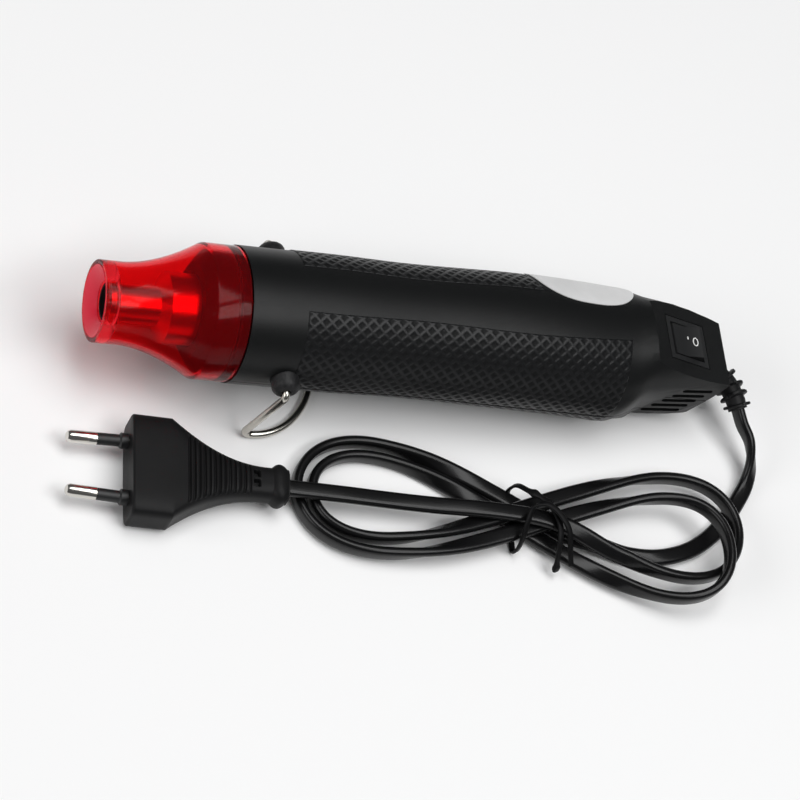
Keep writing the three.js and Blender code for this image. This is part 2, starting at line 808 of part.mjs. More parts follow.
// Lead wires from the strain relief to the terminals
const flangeDown = vec(-Math.sin(endSlant), 0, -Math.cos(endSlant));
const wireSag = 0.3;
const flangeBack = -wall - clearance - reliefFlangeThickness;
const wireEnd = (side) => {
  const x = (side * terminalSpacing) / 2;
  const z = terminalTop - terminalLength - clearance - wireRadius;
  return vec(x, 0, z).applyMatrix4(switchFrame);
};
[1, -1].forEach((side, i) => {
  const start = fromSeat(flangeBack - clearance).addScaledVector(flangeDown, 2.4);
  start.y = side * 2;
  const next = start.clone().add(vec(-2.4, 0, -0.2));
  const end = wireEnd(side);
  const before = end.clone().add(vec(2.4, side * 1.2, -1));
  const low = next.clone().lerp(before, 0.5);
  low.z -= wireSag * (next.x - before.x);
  const points = smooth([start, next, low, before, end], 12);
  const frames = carriedFrames(points, vec(0, 1, 0));
  const section = roundSection(wireRadius, 8);
  piece(tool, `lead_wire_${i + 1}`, sweep(points, frames, () => section), "wire");
});

// Pivot bosses, flanged inside the barrel and bored for the stand's ends
const bossBore = standWireRadius + clearance;
const bossProfile = [
  [bossFlangeInner, 0],
  [bossFlangeInner, bossFlangeRadius],
  [bossFlangeInner + bossFlangeThickness, bossFlangeRadius],
  [bossFlangeInner + bossFlangeThickness, bossRadius],
  [bossReach - 2, bossRadius],
  [bossReach - 1, bossRadius - 0.4],
  [bossReach - 0.3, bossRadius - 1.1],
  [bossReach, bossRadius - 2],
  [bossReach, bossBore],
  [bossReach - bossBoreDepth, bossBore],
  [bossReach - bossBoreDepth, 0],
];
for (const [name, side] of [["left", 1], ["right", -1]]) {
  const frame = new THREE.Matrix4()
    .makeRotationZ((side * Math.PI) / 2)
    .setPosition(hingeAt, 0, 0);
  piece(tool, `pivot_boss_${name}`, turned(bossProfile, 20).transform(frame.elements), "housing");
}

// Bare label, a thin leaf laid on the barrel and on the start of its shoulder
const labelRings = Array.from({ length: 15 }, (_, k) => {
  const t = -Math.cos((Math.PI * (k + 0.6)) / 15.2);
  const x = labelCentreAt + labelHalfLength * t;
  const half = labelHalfAngle * (1 - Math.abs(t) ** labelPower) ** (1 / labelPower);
  const section = housingSection(x);
  const middle = (section.top + section.bottom) / 2;
  const rise = (section.top - section.bottom) / 2;
  const bend = (v) => Math.sign(v) * Math.abs(v) ** (2 / section.topPower);
  const arc = (lift) =>
    Array.from({ length: 9 }, (__, j) => {
      const turn = labelCentreAngle + half * mix(-1, 1, j / 8);
      const across = (section.half + lift) * bend(Math.sin(turn));
      return vec(x, across, middle + (rise + lift) * bend(Math.cos(turn)));
    });
  return [...arc(labelGap), ...arc(labelGap + labelThickness).toReversed()];
});
piece(tool, "label", solid(loft(labelRings)), "label");

// The tool rests on the stand's foot and on the barrel's rear corner.
const cornerReach = barrelLength - hingeAt;
const cornerDrop = rearRadius + rearDroop;
const cornerSight = Math.atan2(cornerDrop, cornerReach);
const restTilt = Math.asin(hingeHeight / Math.hypot(cornerReach, cornerDrop)) - cornerSight;
tool.rotation.y = restTilt;
tool.position.z = hingeHeight + hingeAt * Math.sin(restTilt);
tool.updateMatrix();

// Wire stand: stubs in the bosses, two arms, a C-shaped foot flat on the table
stand.position.set(hingeAt * Math.cos(restTilt), 0, hingeHeight);
const footHeight = standWireRadius - hingeHeight;
const footStart = footHeight * Math.tan(standLean);
const halfStand = [];
const stubEnd = vec(0, bossReach - bossBoreDepth + clearance, 0);
const elbow = vec(0, standHalfWidth, 0);
const heel = vec(footStart, standFootHalfWidth, footHeight);
const beyondHeel = vec(footStart + 8, standFootHalfWidth, footHeight);
halfStand.push(stubEnd);
halfStand.push(...roundedCorner(stubEnd, elbow, heel, standElbowRadius, 4));
halfStand.push(...roundedCorner(elbow, heel, beyondHeel, standHeelRadius, 6));
const footFrom = halfStand.at(-1).x;
const footReach = standFootReach + footStart - footFrom;
const footArc = Array.from({ length: 23 }, (_, k) => {
  const turn = (Math.PI * (k + 1)) / 24;
  const across = standFootHalfWidth * Math.cos(turn);
  return vec(footFrom + footReach * Math.sin(turn), across, footHeight);
});
const otherHalf = halfStand.toReversed().map((p) => vec(p.x, -p.y, p.z));
const standPoints = [...halfStand, ...footArc, ...otherHalf];
const standSection = roundSection(standWireRadius, 8);
const standFrames = carriedFrames(standPoints, vec(1, 0, 0));
piece(stand, "wire_stand", sweep(standPoints, standFrames, () => standSection), "steel");

// Strain relief: inner flange, neck through the end wall, fins, bent toward the table
const onTable = (p) => p.clone().applyMatrix4(tool.matrix);
const seatOnTable = onTable(fromSeat(0));
const reliefBend = vec(reliefBendForward, -reliefBendAside, -reliefBendDrop).add(seatOnTable);
const reliefTip = vec(reliefTipForward, -reliefTipAside, -reliefTipDrop).add(seatOnTable);
const cordExitWay = vec(0.3, -0.9, -0.31).normalize();
const reliefLine = new THREE.CatmullRomCurve3(
  [
    onTable(fromSeat(flangeBack)),
    seatOnTable,
    onTable(fromSeat(reliefStraight)),
    reliefBend,
    reliefTip.clone().addScaledVector(cordExitWay, -reliefTipStraight),
    reliefTip,
  ],
  false,
  "centripetal",
);
const reliefLength = reliefLine.getLength();
const reliefSteps = [[0, reliefFlangeRadius], [reliefFlangeThickness, reliefFlangeRadius]];
reliefSteps.push([reliefFlangeThickness, reliefNeckRadius]);
const finStart = -flangeBack + clearance;
const finReach = reliefLength - finStart - reliefFinWidth - reliefTipMargin;
const finPitch = finReach / (reliefFinCount - 1);
for (let i = 0; i < reliefFinCount; i++) {
  const from = finStart + i * finPitch;
  const t = i / (reliefFinCount - 1);
  const fin = reliefFinRadius - reliefFinTaper * t;
  const core = mix(reliefNeckRadius, reliefTipRadius, t);
  const to = from + reliefFinWidth;
  reliefSteps.push([from, core], [from, fin], [to, fin], [to, core]);
  if (t < 1) reliefSteps.push([(to + from + finPitch) / 2, core]);
}
reliefSteps.push([reliefLength, reliefTipRadius]);
const reliefPoints = reliefSteps.map(([s]) => reliefLine.getPointAt(Math.min(s / reliefLength, 1)));
const reliefWays = reliefSteps.map(([s]) => reliefLine.getTangentAt(Math.min(s / reliefLength, 1)));
const reliefFrames = reliefWays.map((along) => {
  const side = along.clone().cross(vec(0, 0, 1)).normalize();
  return { side, rise: side.clone().cross(along) };
});
const reliefSection = (i) => roundSection(reliefSteps[i][1], 16);
piece(rear, "strain_relief", sweep(reliefPoints, reliefFrames, reliefSection), "rubber");

// Figure of eight: values at each quarter turn, eased between them
const quarterReach = [75, 77, 74, 66, 70, 72, 73, 73, 73];
const quarterSpread = [17, 18.2, 17, 17.5, 17, 15.6, 17, 18, 18];
const quarterOffset = [3.7, 0, -3.7, -6, -3.7, 0, 3.7, 5, 2];
const quarterHeight = [2.9, 3, 6.7, 14.1, 2.9, 3, 6.7, 6.7, 10.5];
const eased = (values, u) => {
  const k = Math.min(Math.floor(4 * u), 7);
  return mix(values[k], values[k + 1], ease(4 * u - k));
};
function hankPoint(u) {
  const turn = (3 * Math.PI) / 2 - 2 * Math.PI * u;
  const flat = new THREE.Vector2(
    eased(quarterReach, u) * Math.cos(turn),
    eased(quarterSpread, u) * Math.sin(2 * turn) + eased(quarterOffset, u),
  );
  flat.rotateAround(new THREE.Vector2(), hankTurn).add(hankWaist);
  return vec(flat.x, flat.y, eased(quarterHeight, u));
}
const hankRoll = (u) => {
  const fromWaist = Math.abs(u - Math.round(2 * u) / 2);
  return (Math.PI / 2) * ease((fromWaist - 0.02) / 0.09);
};

const hankSteps = Math.round(hankEnd * 2 * stepsPerLobe);
const hankPlaces = Array.from({ length: hankSteps + 1 }, (_, k) => (hankEnd * k) / hankSteps);
const hankPoints = hankPlaces.map(hankPoint);
const hankRolls = hankPlaces.map(hankRoll);
const hankWay = tangents(hankPoints);
const leadEnd = hankPoints[0].clone().addScaledVector(hankWay[0], -clearance);
const tailStart = hankPoints.at(-1).clone().addScaledVector(hankWay.at(-1), clearance);

// Lead from the strain relief to the waist; the whole route keeps its place to the relief's tip
cord.position.x = reliefTip.x - routeExitAt;
const cordExit = reliefTip.clone().sub(cord.position);
const leadPath = [
  cordExit.clone().addScaledVector(cordExitWay, clearance),
  cordExit.clone().addScaledVector(cordExitWay, 5),
  vec(184.6, -22.6, 10.2),
  vec(185.9, -29.5, 5.8),
  vec(184.4, -35.2, 3),
  vec(181, -40.4, 2),
  vec(175.6, -47.2, 1.9),
  vec(169, -53.6, 1.9),
  vec(161.1, -58.8, 2.1),
  vec(152.5, -62, 2.6),
  vec(144.2, -63.2, 2.9),
  vec(135.6, -62.4, 2.9),
  vec(127.2, -59.6, 2.8),
  leadEnd.clone().addScaledVector(hankWay[0], -14),
  leadEnd.clone().addScaledVector(hankWay[0], -6),
  leadEnd,
];
// Run from the waist over the loops to the plug
plug.position.copy(plugFace);
plug.rotation.set(0, -plugLift, plugTurn, "ZYX");
plug.updateMatrix();
const plugWay = vec(1, 0, 0).applyEuler(plug.rotation);
const plugExit = vec(plugLength + clearance, 0, 0).applyMatrix4(plug.matrix);
const runPath = [
  tailStart,
  tailStart.clone().addScaledVector(hankWay.at(-1), 6),
  vec(113.5, -57.2, 10.4),
  vec(104, -54.4, 10.5),
  vec(94, -53.2, 10.6),
  vec(84, -52.4, 10.4),
  vec(70, -51.3, 9.1),
  vec(57.6, -50.2, 8.4),
  vec(40, -48.9, 8.5),
  plugExit.clone().addScaledVector(plugWay, 6),
  plugExit,
];
const leadPoints = smooth(leadPath, 44);
const runPoints = smooth(runPath, 40);
const leadRolls = leadPoints.map((_, i) => {
  const t = i / (leadPoints.length - 1);
  const lean = 0.45 * Math.sin(Math.PI * (2 * t - 1)) ** 2;
  return (Math.PI / 2) * (t < 0.5 ? 1 - ease(t / 0.32) : lean);
});
const runRolls = runPoints.map((_, i) => hankRolls.at(-1) * (1 - ease(i / 12)));
const ribbon = (points, rolls) =>
  sweep(points, levelFrames(points), (i) => flatSection(cordWidth, cordThickness, rolls[i]));
piece(cord, "cord_lead", ribbon(leadPoints, leadRolls), "rubber");
piece(cord, "cord_hank", ribbon(hankPoints, hankRolls), "rubber");
piece(cord, "cord_plug_run", ribbon(runPoints, runRolls), "rubber");

// Twist tie: up one tail, once round the waist, down the other tail
const tiePath = [
  vec(110.1, -69.6, 3.6),
  vec(109.4, -66.4, 8.6),
  vec(109.2, -62.4, 12.6),
  vec(109.2, -57.4, 13.6),
  vec(107.4, -52.6, 13.8),
  vec(104, -48.8, 13.6),
  vec(100.4, -46.2, 12.6),
  vec(98.6, -43, 9.4),
  vec(98.2, -41.8, 5.4),
  vec(98.1, -41.8, 2.4),
  vec(98, -43.2, 0.8),
  vec(97.9, -46.6, 0.6),
  vec(97.8, -57.4, 0.6),
  vec(97.6, -61.8, 0.8),
  vec(97.5, -63, 3),
  vec(97.5, -62.8, 6.4),
  vec(97.7, -60.8, 10.2),
  vec(98.4, -57.4, 13.2),
  vec(100, -53.6, 15.4),
  vec(103.4, -52.4, 16.6),
  vec(107.4, -54.6, 16.6),
  vec(111.6, -60.2, 14.6),
  vec(113, -65, 10.6),
  vec(114.4, -68.6, 6.4),
];
const tiePoints = smooth(tiePath, 56);
const tieFrames = facedFrames(tiePoints, vec(1, 0.6, 0));
const tieSection = flatSection(tieWidth, tieThickness, 0);
piece(cord, "twist_tie", sweep(tiePoints, tieFrames, () => tieSection), "rubber");

// Plug: flat body, tapered neck and bead
function plugSection(x) {
  const t = Math.min(Math.max((x - plugBodyLength) / (plugTaperEnd - plugBodyLength), 0), 1);
  const fall = (1 - t) ** plugTaperPower;
  const bead = plugBeadSwell * Math.max(1 - ((x - plugBeadAt) / plugBeadHalfLength) ** 2, 0);
  const edge = x < 0.5 ? 0.6 : 0;
  return {
    half: mix(plugNeckHalfWidth, plugHalfWidth, fall) + bead - edge,
    rise: mix(plugNeckHalfThickness, plugHalfThickness, 1 - ease(t)) + bead / 2 - edge,
    power: mix(3, 6, fall),
  };
}
const plugTaperPlaces = [15, 18, 21.5, 25.5, 30, 35, 39];
const plugBeadPlaces = [44.2, 45.2, plugBeadAt, 47.4, 48.7];
const plugPlaces = [
  0,
  0.8,
  plugBodyLength,
  ...plugTaperPlaces,
  plugTaperEnd,
  ...plugBeadPlaces,
  plugLength,
];
const plugRings = plugPlaces.map((x) => {
  const { half, rise, power } = plugSection(x);
  const bend = (v) => Math.sign(v) * Math.abs(v) ** (2 / power);
  return Array.from({ length: 28 }, (_, k) => {
    const turn = (2 * Math.PI * (k + 0.5)) / 28;
    return vec(x, half * bend(Math.cos(turn)), rise * bend(Math.sin(turn)));
  });
});
let plugBody = solid(loft(plugRings));
const pinTurn = Math.atan2((pinSpacing - pinTipSpacing) / 2, pinLength);
const pinStart = sleeveLength + clearance;
const pinProfile = [
  [-pinCoreDepth, 0],
  [-pinCoreDepth, pinCoreRadius],
  [pinStart, pinCoreRadius],
  [pinStart, pinRadius],
  [pinLength - 1.6, pinRadius],
  [pinLength - 0.7, pinRadius * 0.83],
  [pinLength - 0.15, pinRadius * 0.45],
  [pinLength, 0],
];
const sleeveProfile = [
  [clearance, sleeveCollarRadius],
  [sleeveCollarLength, sleeveCollarRadius],
  [sleeveCollarLength + 0.5, sleeveRadius],
  [sleeveLength, sleeveRadius],
  [sleeveLength, pinCoreRadius + clearance],
  [clearance, pinCoreRadius + clearance],
];
for (const [name, side] of [["left", 1], ["right", -1]]) {
  const frame = new THREE.Matrix4()
    .makeRotationZ(Math.PI + side * pinTurn)
    .setPosition(0, (side * pinSpacing) / 2, 0);
  const hole = bar(vec(-pinCoreDepth - clearance, 0, 0), vec(2, 0, 0), pinCoreRadius + clearance);
  plugBody = plugBody.subtract(hole.transform(frame.elements));
  piece(plug, `plug_pin_${name}`, turned(pinProfile, 20).transform(frame.elements), "steel");
  const sleeve = turned(sleeveProfile, 20).transform(frame.elements);
  piece(plug, `plug_sleeve_${name}`, sleeve, "glossBlack");
}
piece(plug, "plug_body", plugBody, "rubber");

// Least gap of the cord to itself, taken between strands more than four widths apart along it
function cordGap() {
  const fine = { lead: smooth(leadPath, 160), run: smooth(runPath, 130) };
  const rolledLead = fine.lead.map((_, i) => leadRolls[Math.round((i * 44) / 160)]);
  const rolledRun = fine.run.map((_, i) => runRolls[Math.round((i * 40) / 130)]);
  const finePlaces = Array.from({ length: 401 }, (_, k) => (hankEnd * k) / 400);
  const points = [...fine.lead, ...finePlaces.map(hankPoint), ...fine.run];
  const rolls = [...rolledLead, ...finePlaces.map(hankRoll), ...rolledRun];
  const frames = levelFrames(points);
  const reach = (cordWidth - cordThickness) / 2;
  const spots = [];
  let length = 0;
  points.forEach((p, i) => {
    if (i > 0) length += p.distanceTo(points[i - 1]);
    const wide = frames[i].side.clone().multiplyScalar(Math.cos(rolls[i]));
    wide.addScaledVector(frames[i].rise, Math.sin(rolls[i]));
    for (const s of [-1, -0.5, 0, 0.5, 1]) {
      spots.push({ at: p.clone().addScaledVector(wide, s * reach), length });
    }
  });
  let least = { gap: Infinity };
  for (let i = 0; i < spots.length; i++) {
    for (let j = i + 5; j < spots.length; j++) {
      if (spots[j].length - spots[i].length < 4 * cordWidth) continue;
      const gap = spots[i].at.distanceTo(spots[j].at) - cordThickness;
      if (gap < least.gap) least = { gap, at: spots[i].at, other: spots[j].at };
    }
  }
  const place = (p) => p.toArray().map((v) => v.toFixed(1)).join(", ");
  const nearest = `${place(least.at)} and ${place(least.other)}`;
  console.log(`cord ${length.toFixed(1)} mm, least gap ${least.gap.toFixed(2)} mm at ${nearest}`);
}
cordGap();

// The tool's box, without the cord, is centred over the origin.
assembly.updateMatrixWorld(true);
const box = new THREE.Box3();
for (const group of [tool, stand, rear]) {
  box.expandByObject(group, true);
}
assembly.position.x = -(box.min.x + box.max.x) / 2;

export default root;
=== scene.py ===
"""Looks of the hot air tool: tinted cover, patterned grip, wire stand, flat cord and plug.

Meshes are in metres, in the frame of the solids. Sizes of pieces are given in millimetres, as in
the drawing of the part, and are turned into metres where a point is put into the frame.
"""

import logging
import math
from dataclasses import dataclass
from enum import Enum
from typing import Sequence

import bpy
import numpy as np
from mathutils import Matrix, Vector

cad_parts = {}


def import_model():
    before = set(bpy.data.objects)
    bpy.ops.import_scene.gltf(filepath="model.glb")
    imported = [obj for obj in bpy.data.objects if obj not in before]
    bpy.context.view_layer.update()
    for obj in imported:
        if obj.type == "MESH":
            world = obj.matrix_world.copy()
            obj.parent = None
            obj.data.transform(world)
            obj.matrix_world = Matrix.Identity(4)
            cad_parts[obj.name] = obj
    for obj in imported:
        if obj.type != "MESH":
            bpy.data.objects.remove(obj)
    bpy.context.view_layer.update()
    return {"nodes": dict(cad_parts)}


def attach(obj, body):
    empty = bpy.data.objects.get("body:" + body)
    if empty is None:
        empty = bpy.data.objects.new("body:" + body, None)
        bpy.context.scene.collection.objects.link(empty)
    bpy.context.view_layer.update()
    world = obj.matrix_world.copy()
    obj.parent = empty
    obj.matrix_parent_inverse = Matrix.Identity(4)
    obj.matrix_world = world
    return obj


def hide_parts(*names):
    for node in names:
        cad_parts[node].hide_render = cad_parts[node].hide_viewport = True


LOG = logging.getLogger("hot_air_tool")
MM = 0.001
CORNER_SHARE = 0.45
Array = np.ndarray
Triple = tuple[float, float, float]
Colour = Triple


class Body(Enum):
    """Bodies of the frame that a piece can ride on."""

    TOOL = "tool"
    STAND = "stand"
    ROCKER = "rocker"


class Pattern(Enum):
    """Surface patterns that a finish can carry."""

    GRAIN = "moulded_grain"
    DRAWN = "drawn_lines"


# Arrays of points


def unit(vectors: Array) -> Array:
    """Vectors of length one along the last axis."""
    return vectors / np.linalg.norm(vectors, axis=-1, keepdims=True)


def ease(t: Array) -> Array:
    """Half a cosine wave from 0 to 1, level outside that range."""
    return (1 - np.cos(np.pi * np.clip(t, 0, 1))) / 2


def mix(a: Array | float, b: Array | float, t: Array | float) -> Array:
    """Straight blend from a at t = 0 to b at t = 1."""
    return a + (b - a) * t


def signed_power(values: Array, power: Array | float) -> Array:
    """Each value's size raised to a power, with its sign kept."""
    return np.sign(values) * np.abs(values) ** power


def read_along(at: Array, reached: Array, rows: Array) -> Array:
    """Rows of three values read off at chosen distances along a line."""
    return np.stack([np.interp(at, reached, rows[:, k]) for k in range(3)], axis=1)


def resample(line: Array, count: int) -> Array:
    """Points at equal steps of length along a polyline.

    Args:
        line: points of the polyline, one row each.
        count: number of steps.

    Returns:
        count + 1 points, both ends included.
    """
    steps = np.linalg.norm(np.diff(line, axis=0), axis=1)
    reached = np.concatenate([[0.0], np.cumsum(steps)])
    wanted = np.linspace(0, reached[-1], count + 1)
    return read_along(wanted, reached, line)


def spline(points: Array, count: int, fine: int = 60) -> Array:
    """Centripetal curve through chosen points, as cubic pieces.

    Each piece is b + m1 t + (3(c - b) - 2 m1 - m2) t^2 + (2(b - c) + m1 + m2) t^3, whose end slopes
    m1 and m2 come from the square roots of the distances between neighbours.

    Args:
        points: points that the curve passes, one row each.
        count: number of equal steps wanted.
        fine: samples in each piece before the steps are evened out.

    Returns:
        count + 1 points on the curve.
    """
    p = np.vstack([2 * points[0] - points[1], points, 2 * points[-1] - points[-2]])
    roots = np.sqrt(np.linalg.norm(np.diff(p, axis=0), axis=1))[:, None]
    d0, d1, d2 = roots[:-2], roots[1:-1], roots[2:]
    a, b, c, d = p[:-3], p[1:-2], p[2:-1], p[3:]
    m1 = d1 * ((b - a) / d0 - (c - a) / (d0 + d1) + (c - b) / d1)
    m2 = d1 * ((c - b) / d1 - (d - b) / (d1 + d2) + (d - c) / d2)
    t = np.linspace(0, 1, fine, endpoint=False)[:, None, None]
    curve = b + t * m1 + t**2 * (3 * (c - b) - 2 * m1 - m2) + t**3 * (2 * (b - c) + m1 + m2)
    line = np.vstack([curve.transpose(1, 0, 2).reshape(-1, 3), points[-1]])
    return resample(line, count)


def level_frames(path: Array) -> tuple[Array, Array]:
    """Side and rise at each point of a path: the side is level, the rise square to it and the path."""
    along = unit(np.gradient(path, axis=0))
    side = unit(np.cross(along, [0.0, 0.0, 1.0]))
    return side, np.cross(side, along)


def faced_frames(path: Array, facing: Sequence[float]) -> tuple[Array, Array]:
    """Side and rise at each point of a path, the side kept toward one direction.

    Args:
        path: points of the path.
        facing: direction that the side leans to; it is never along the path.

    Returns:
        Side and rise, one row per point.
    """
    along = unit(np.gradient(path, axis=0))
    facing = np.asarray(facing, float)
    side = unit(facing - along * (along @ facing)[:, None])
    return side, np.cross(side, along)


def sweep(path: Array, frames: tuple[Array, Array], section: Array) -> Array:
    """Profile carried along a path: point + side * s + rise * r.

    Args:
        path: n points.
        frames: side and rise at each point.
        section: (s, r) pairs, either m of them or n rows of m.

    Returns:
        Grid of n by m points.
    """
    side, rise = frames
    section = np.broadcast_to(section, (len(path), *section.shape[-2:]))
    return path[:, None] + side[:, None] * section[..., :1] + rise[:, None] * section[..., 1:]


def full_turn(sides: int) -> Array:
    """Angles of one turn at equal steps, the last one left out."""
    return np.linspace(0, 2 * np.pi, sides, endpoint=False)


def ring_section(radius: float, sides: int) -> Array:
    """Circle of (s, r) pairs."""
    turn = full_turn(sides)
    return radius * np.stack([np.cos(turn), np.sin(turn)], axis=-1)


def flat_section(width: float, thickness: float, arc: int = 9) -> Array:
    """Flat cord with round edges: two half circles joined by straight sides."""
    turn = np.linspace(-np.pi / 2, np.pi / 2, arc)
    radius = thickness / 2
    reach = width / 2 - radius
    edge = np.stack([reach + radius * np.cos(turn), radius * np.sin(turn)], axis=1)
    return np.vstack([edge, -edge])


def rolled(section: Array, roll: Array) -> Array:
    """Section turned by each angle of roll: (s cos - r sin, s sin + r cos)."""
    s, r = section[:, 0], section[:, 1]
    c, d = np.cos(roll)[:, None], np.sin(roll)[:, None]
    return np.stack([s * c - r * d, s * d + r * c], axis=-1)


def rounded_profile(corners: Array, radius: float, steps: int = 5) -> Array:
    """Closed profile with each corner turned into a quadratic arc.

    The arc is (1 - t)^2 p + 2 t (1 - t) q + t^2 r, with p and r set back from the corner q by the
    radius, or by a share of the shorter side where that is less.

    Args:
        corners: profile corners in order, one row each.
        radius: set-back at each corner.
        steps: points in each arc.

    Returns:
        Points of the rounded profile.
    """
    before, after = np.roll(corners, 1, axis=0) - corners, np.roll(corners, -1, axis=0) - corners
    lb = np.linalg.norm(before, axis=1, keepdims=True)
    la = np.linalg.norm(after, axis=1, keepdims=True)
    back = np.minimum(radius, CORNER_SHARE * np.minimum(lb, la))
    p, r = corners + before / lb * back, corners + after / la * back
    t = np.linspace(0, 1, steps)[None, :, None]
    arcs = (1 - t) ** 2 * p[:, None] + 2 * t * (1 - t) * corners[:, None] + t**2 * r[:, None]
    return arcs.reshape(-1, corners.shape[1])


# Meshes


def put_mesh(name: str, points: Array, faces: list[Array], crease: float) -> bpy.types.Object:
    """Object at the origin from arrays of points and faces, with its faces turned outward.

    Args:
        name: name of the piece.
        points: points in metres.
        faces: arrays of corner indices, one array per number of corners.
        crease: angle in degrees past which an edge stays sharp.

    Returns:
        The new object, linked to the scene.
    """
    a, b, c = (points[np.concatenate([f[:, k] for f in faces])] for k in (0, 1, 2))
    volume = np.einsum("ij,ij->", a, np.cross(b, c))
    for quad in (f for f in faces if f.shape[1] == 4):
        a, b, c = (points[quad[:, k]] for k in (0, 2, 3))
        volume += np.einsum("ij,ij->", a, np.cross(b, c))
    if volume < 0:
        faces = [f[:, ::-1] for f in faces]
    corners = np.concatenate([f.ravel() for f in faces]).astype(np.int32)
    sizes = np.concatenate([np.full(len(f), f.shape[1]) for f in faces]).astype(np.int32)
    mesh = bpy.data.meshes.new(name)
    mesh.vertices.add(len(points))
    mesh.vertices.foreach_set("co", points.astype(np.float32).ravel())
    mesh.loops.add(len(corners))
    mesh.loops.foreach_set("vertex_index", corners)
    mesh.polygons.add(len(sizes))
    mesh.polygons.foreach_set("loop_start", np.concatenate([[0], np.cumsum(sizes)[:-1]]).astype(np.int32))
    mesh.polygons.foreach_set("use_smooth", np.ones(len(sizes), bool))
    mesh.update(calc_edges=True)
    mesh.set_sharp_from_angle(angle=math.radians(crease))
    mesh.validate()
    obj = bpy.data.objects.new(name, mesh)
    bpy.context.scene.collection.objects.link(obj)
    return obj


def quad_faces(rows: int, columns: int, wrap_rows: bool) -> Array:
    """Quads of a grid that closes round its columns, and round its rows if asked."""
    i = np.arange(rows if wrap_rows else rows - 1)[:, None]
    j = np.arange(columns)[None, :]
    ni, nj = (i + 1) % rows, (j + 1) % columns
    quads = [i * columns + j, i * columns + nj, ni * columns + nj, ni * columns + j]
    return np.stack(quads, axis=-1).reshape(-1, 4)


def skin(name: str, grid: Array, wrap: bool = False, crease: float = 35) -> bpy.types.Object:
    """Closed piece from rings of points, its ends capped by fans unless it wraps round.

    Args:
        name: name of the piece.
        grid: rings of equal point count, rows by columns by 3, in metres.
        wrap: the last ring joins the first.
        crease: angle in degrees past which an edge stays sharp.

    Returns:
        The new object.
    """
    rows, columns = grid.shape[:2]
    points = grid.reshape(-1, 3)
    faces = [quad_faces(rows, columns, wrap)]
    if not wrap:
        j = np.arange(columns)
        nj = (j + 1) % columns
        first, last = np.full(columns, rows * columns), np.full(columns, rows * columns + 1)
        start = (rows - 1) * columns
        points = np.vstack([points, grid[0].mean(axis=0), grid[-1].mean(axis=0)])
        faces.append(np.stack([first, nj, j], axis=1))
        faces.append(np.stack([last, start + j, start + nj], axis=1))
    return put_mesh(name, points, faces, crease)


def lathe(profile: Array, sides: int) -> Array:
    """Profile of (x, radius) turned about X: (x, radius sin, radius cos) of the turn."""
    turn = full_turn(sides)[:, None]
    x = np.broadcast_to(profile[:, 0], (sides, len(profile)))
    return np.stack([x, profile[:, 1] * np.sin(turn), profile[:, 1] * np.cos(turn)], axis=-1)


@dataclass(frozen=True)
class Placement:
    """Where the drawing's own frames stand in the frame of the solids, in millimetres and degrees."""

    tilt: float = 2.4531891859346704
    lift: float = 29.984850362767883
    shift: float = -70.36598646372106
    hinge_at: float = 16.0
    hinge_height: float = 29.3
    relief_seat: Triple = (167.36029766, 0.0, -5.2)
    relief_tip: Triple = (13.3, -12.9, -3.7)
    exit_way: Triple = (0.3, -0.9, -0.31)
    route_exit_at: float = 180.3

    def from_tool(self, points: Array) -> Array:
        """Tool points turned about Y by the tilt, lifted and moved, in metres."""
        c, s = math.cos(math.radians(self.tilt)), math.sin(math.radians(self.tilt))
        x, y, z = np.moveaxis(np.asarray(points, float), -1, 0)
        turned = np.stack([x * c + z * s + self.shift, y, z * c - x * s + self.lift], axis=-1)
        return turned * MM

    def cord_exit(self) -> Array:
        """Tip of the strain relief, where the cord leaves it, in metres."""
        return self.from_tool(self.relief_seat) + np.asarray(self.relief_tip) * MM

    def from_route(self, points: Array) -> Array:
        """Route points moved along X until the route's exit meets the relief's tip, in metres."""
        moved = np.asarray(points, float) - [self.route_exit_at, 0, 0]
        return moved * MM + [self.cord_exit()[0], 0, 0]

    def from_hinge(self, points: Array) -> Array:
        """Stand points measured from the hinge, in metres."""
        across = self.hinge_at * math.cos(math.radians(self.tilt)) + self.shift
        return (np.asarray(points, float) + [across, 0, self.hinge_height]) * MM


PLACE = Placement()


# Finishes


def set_inputs(node: bpy.types.Node, values: dict[str, float | tuple[float, ...]]) -> None:
    """Sets values on a node's own sockets, by their names."""
    for label, value in values.items():
        node.inputs[label].default_value = value


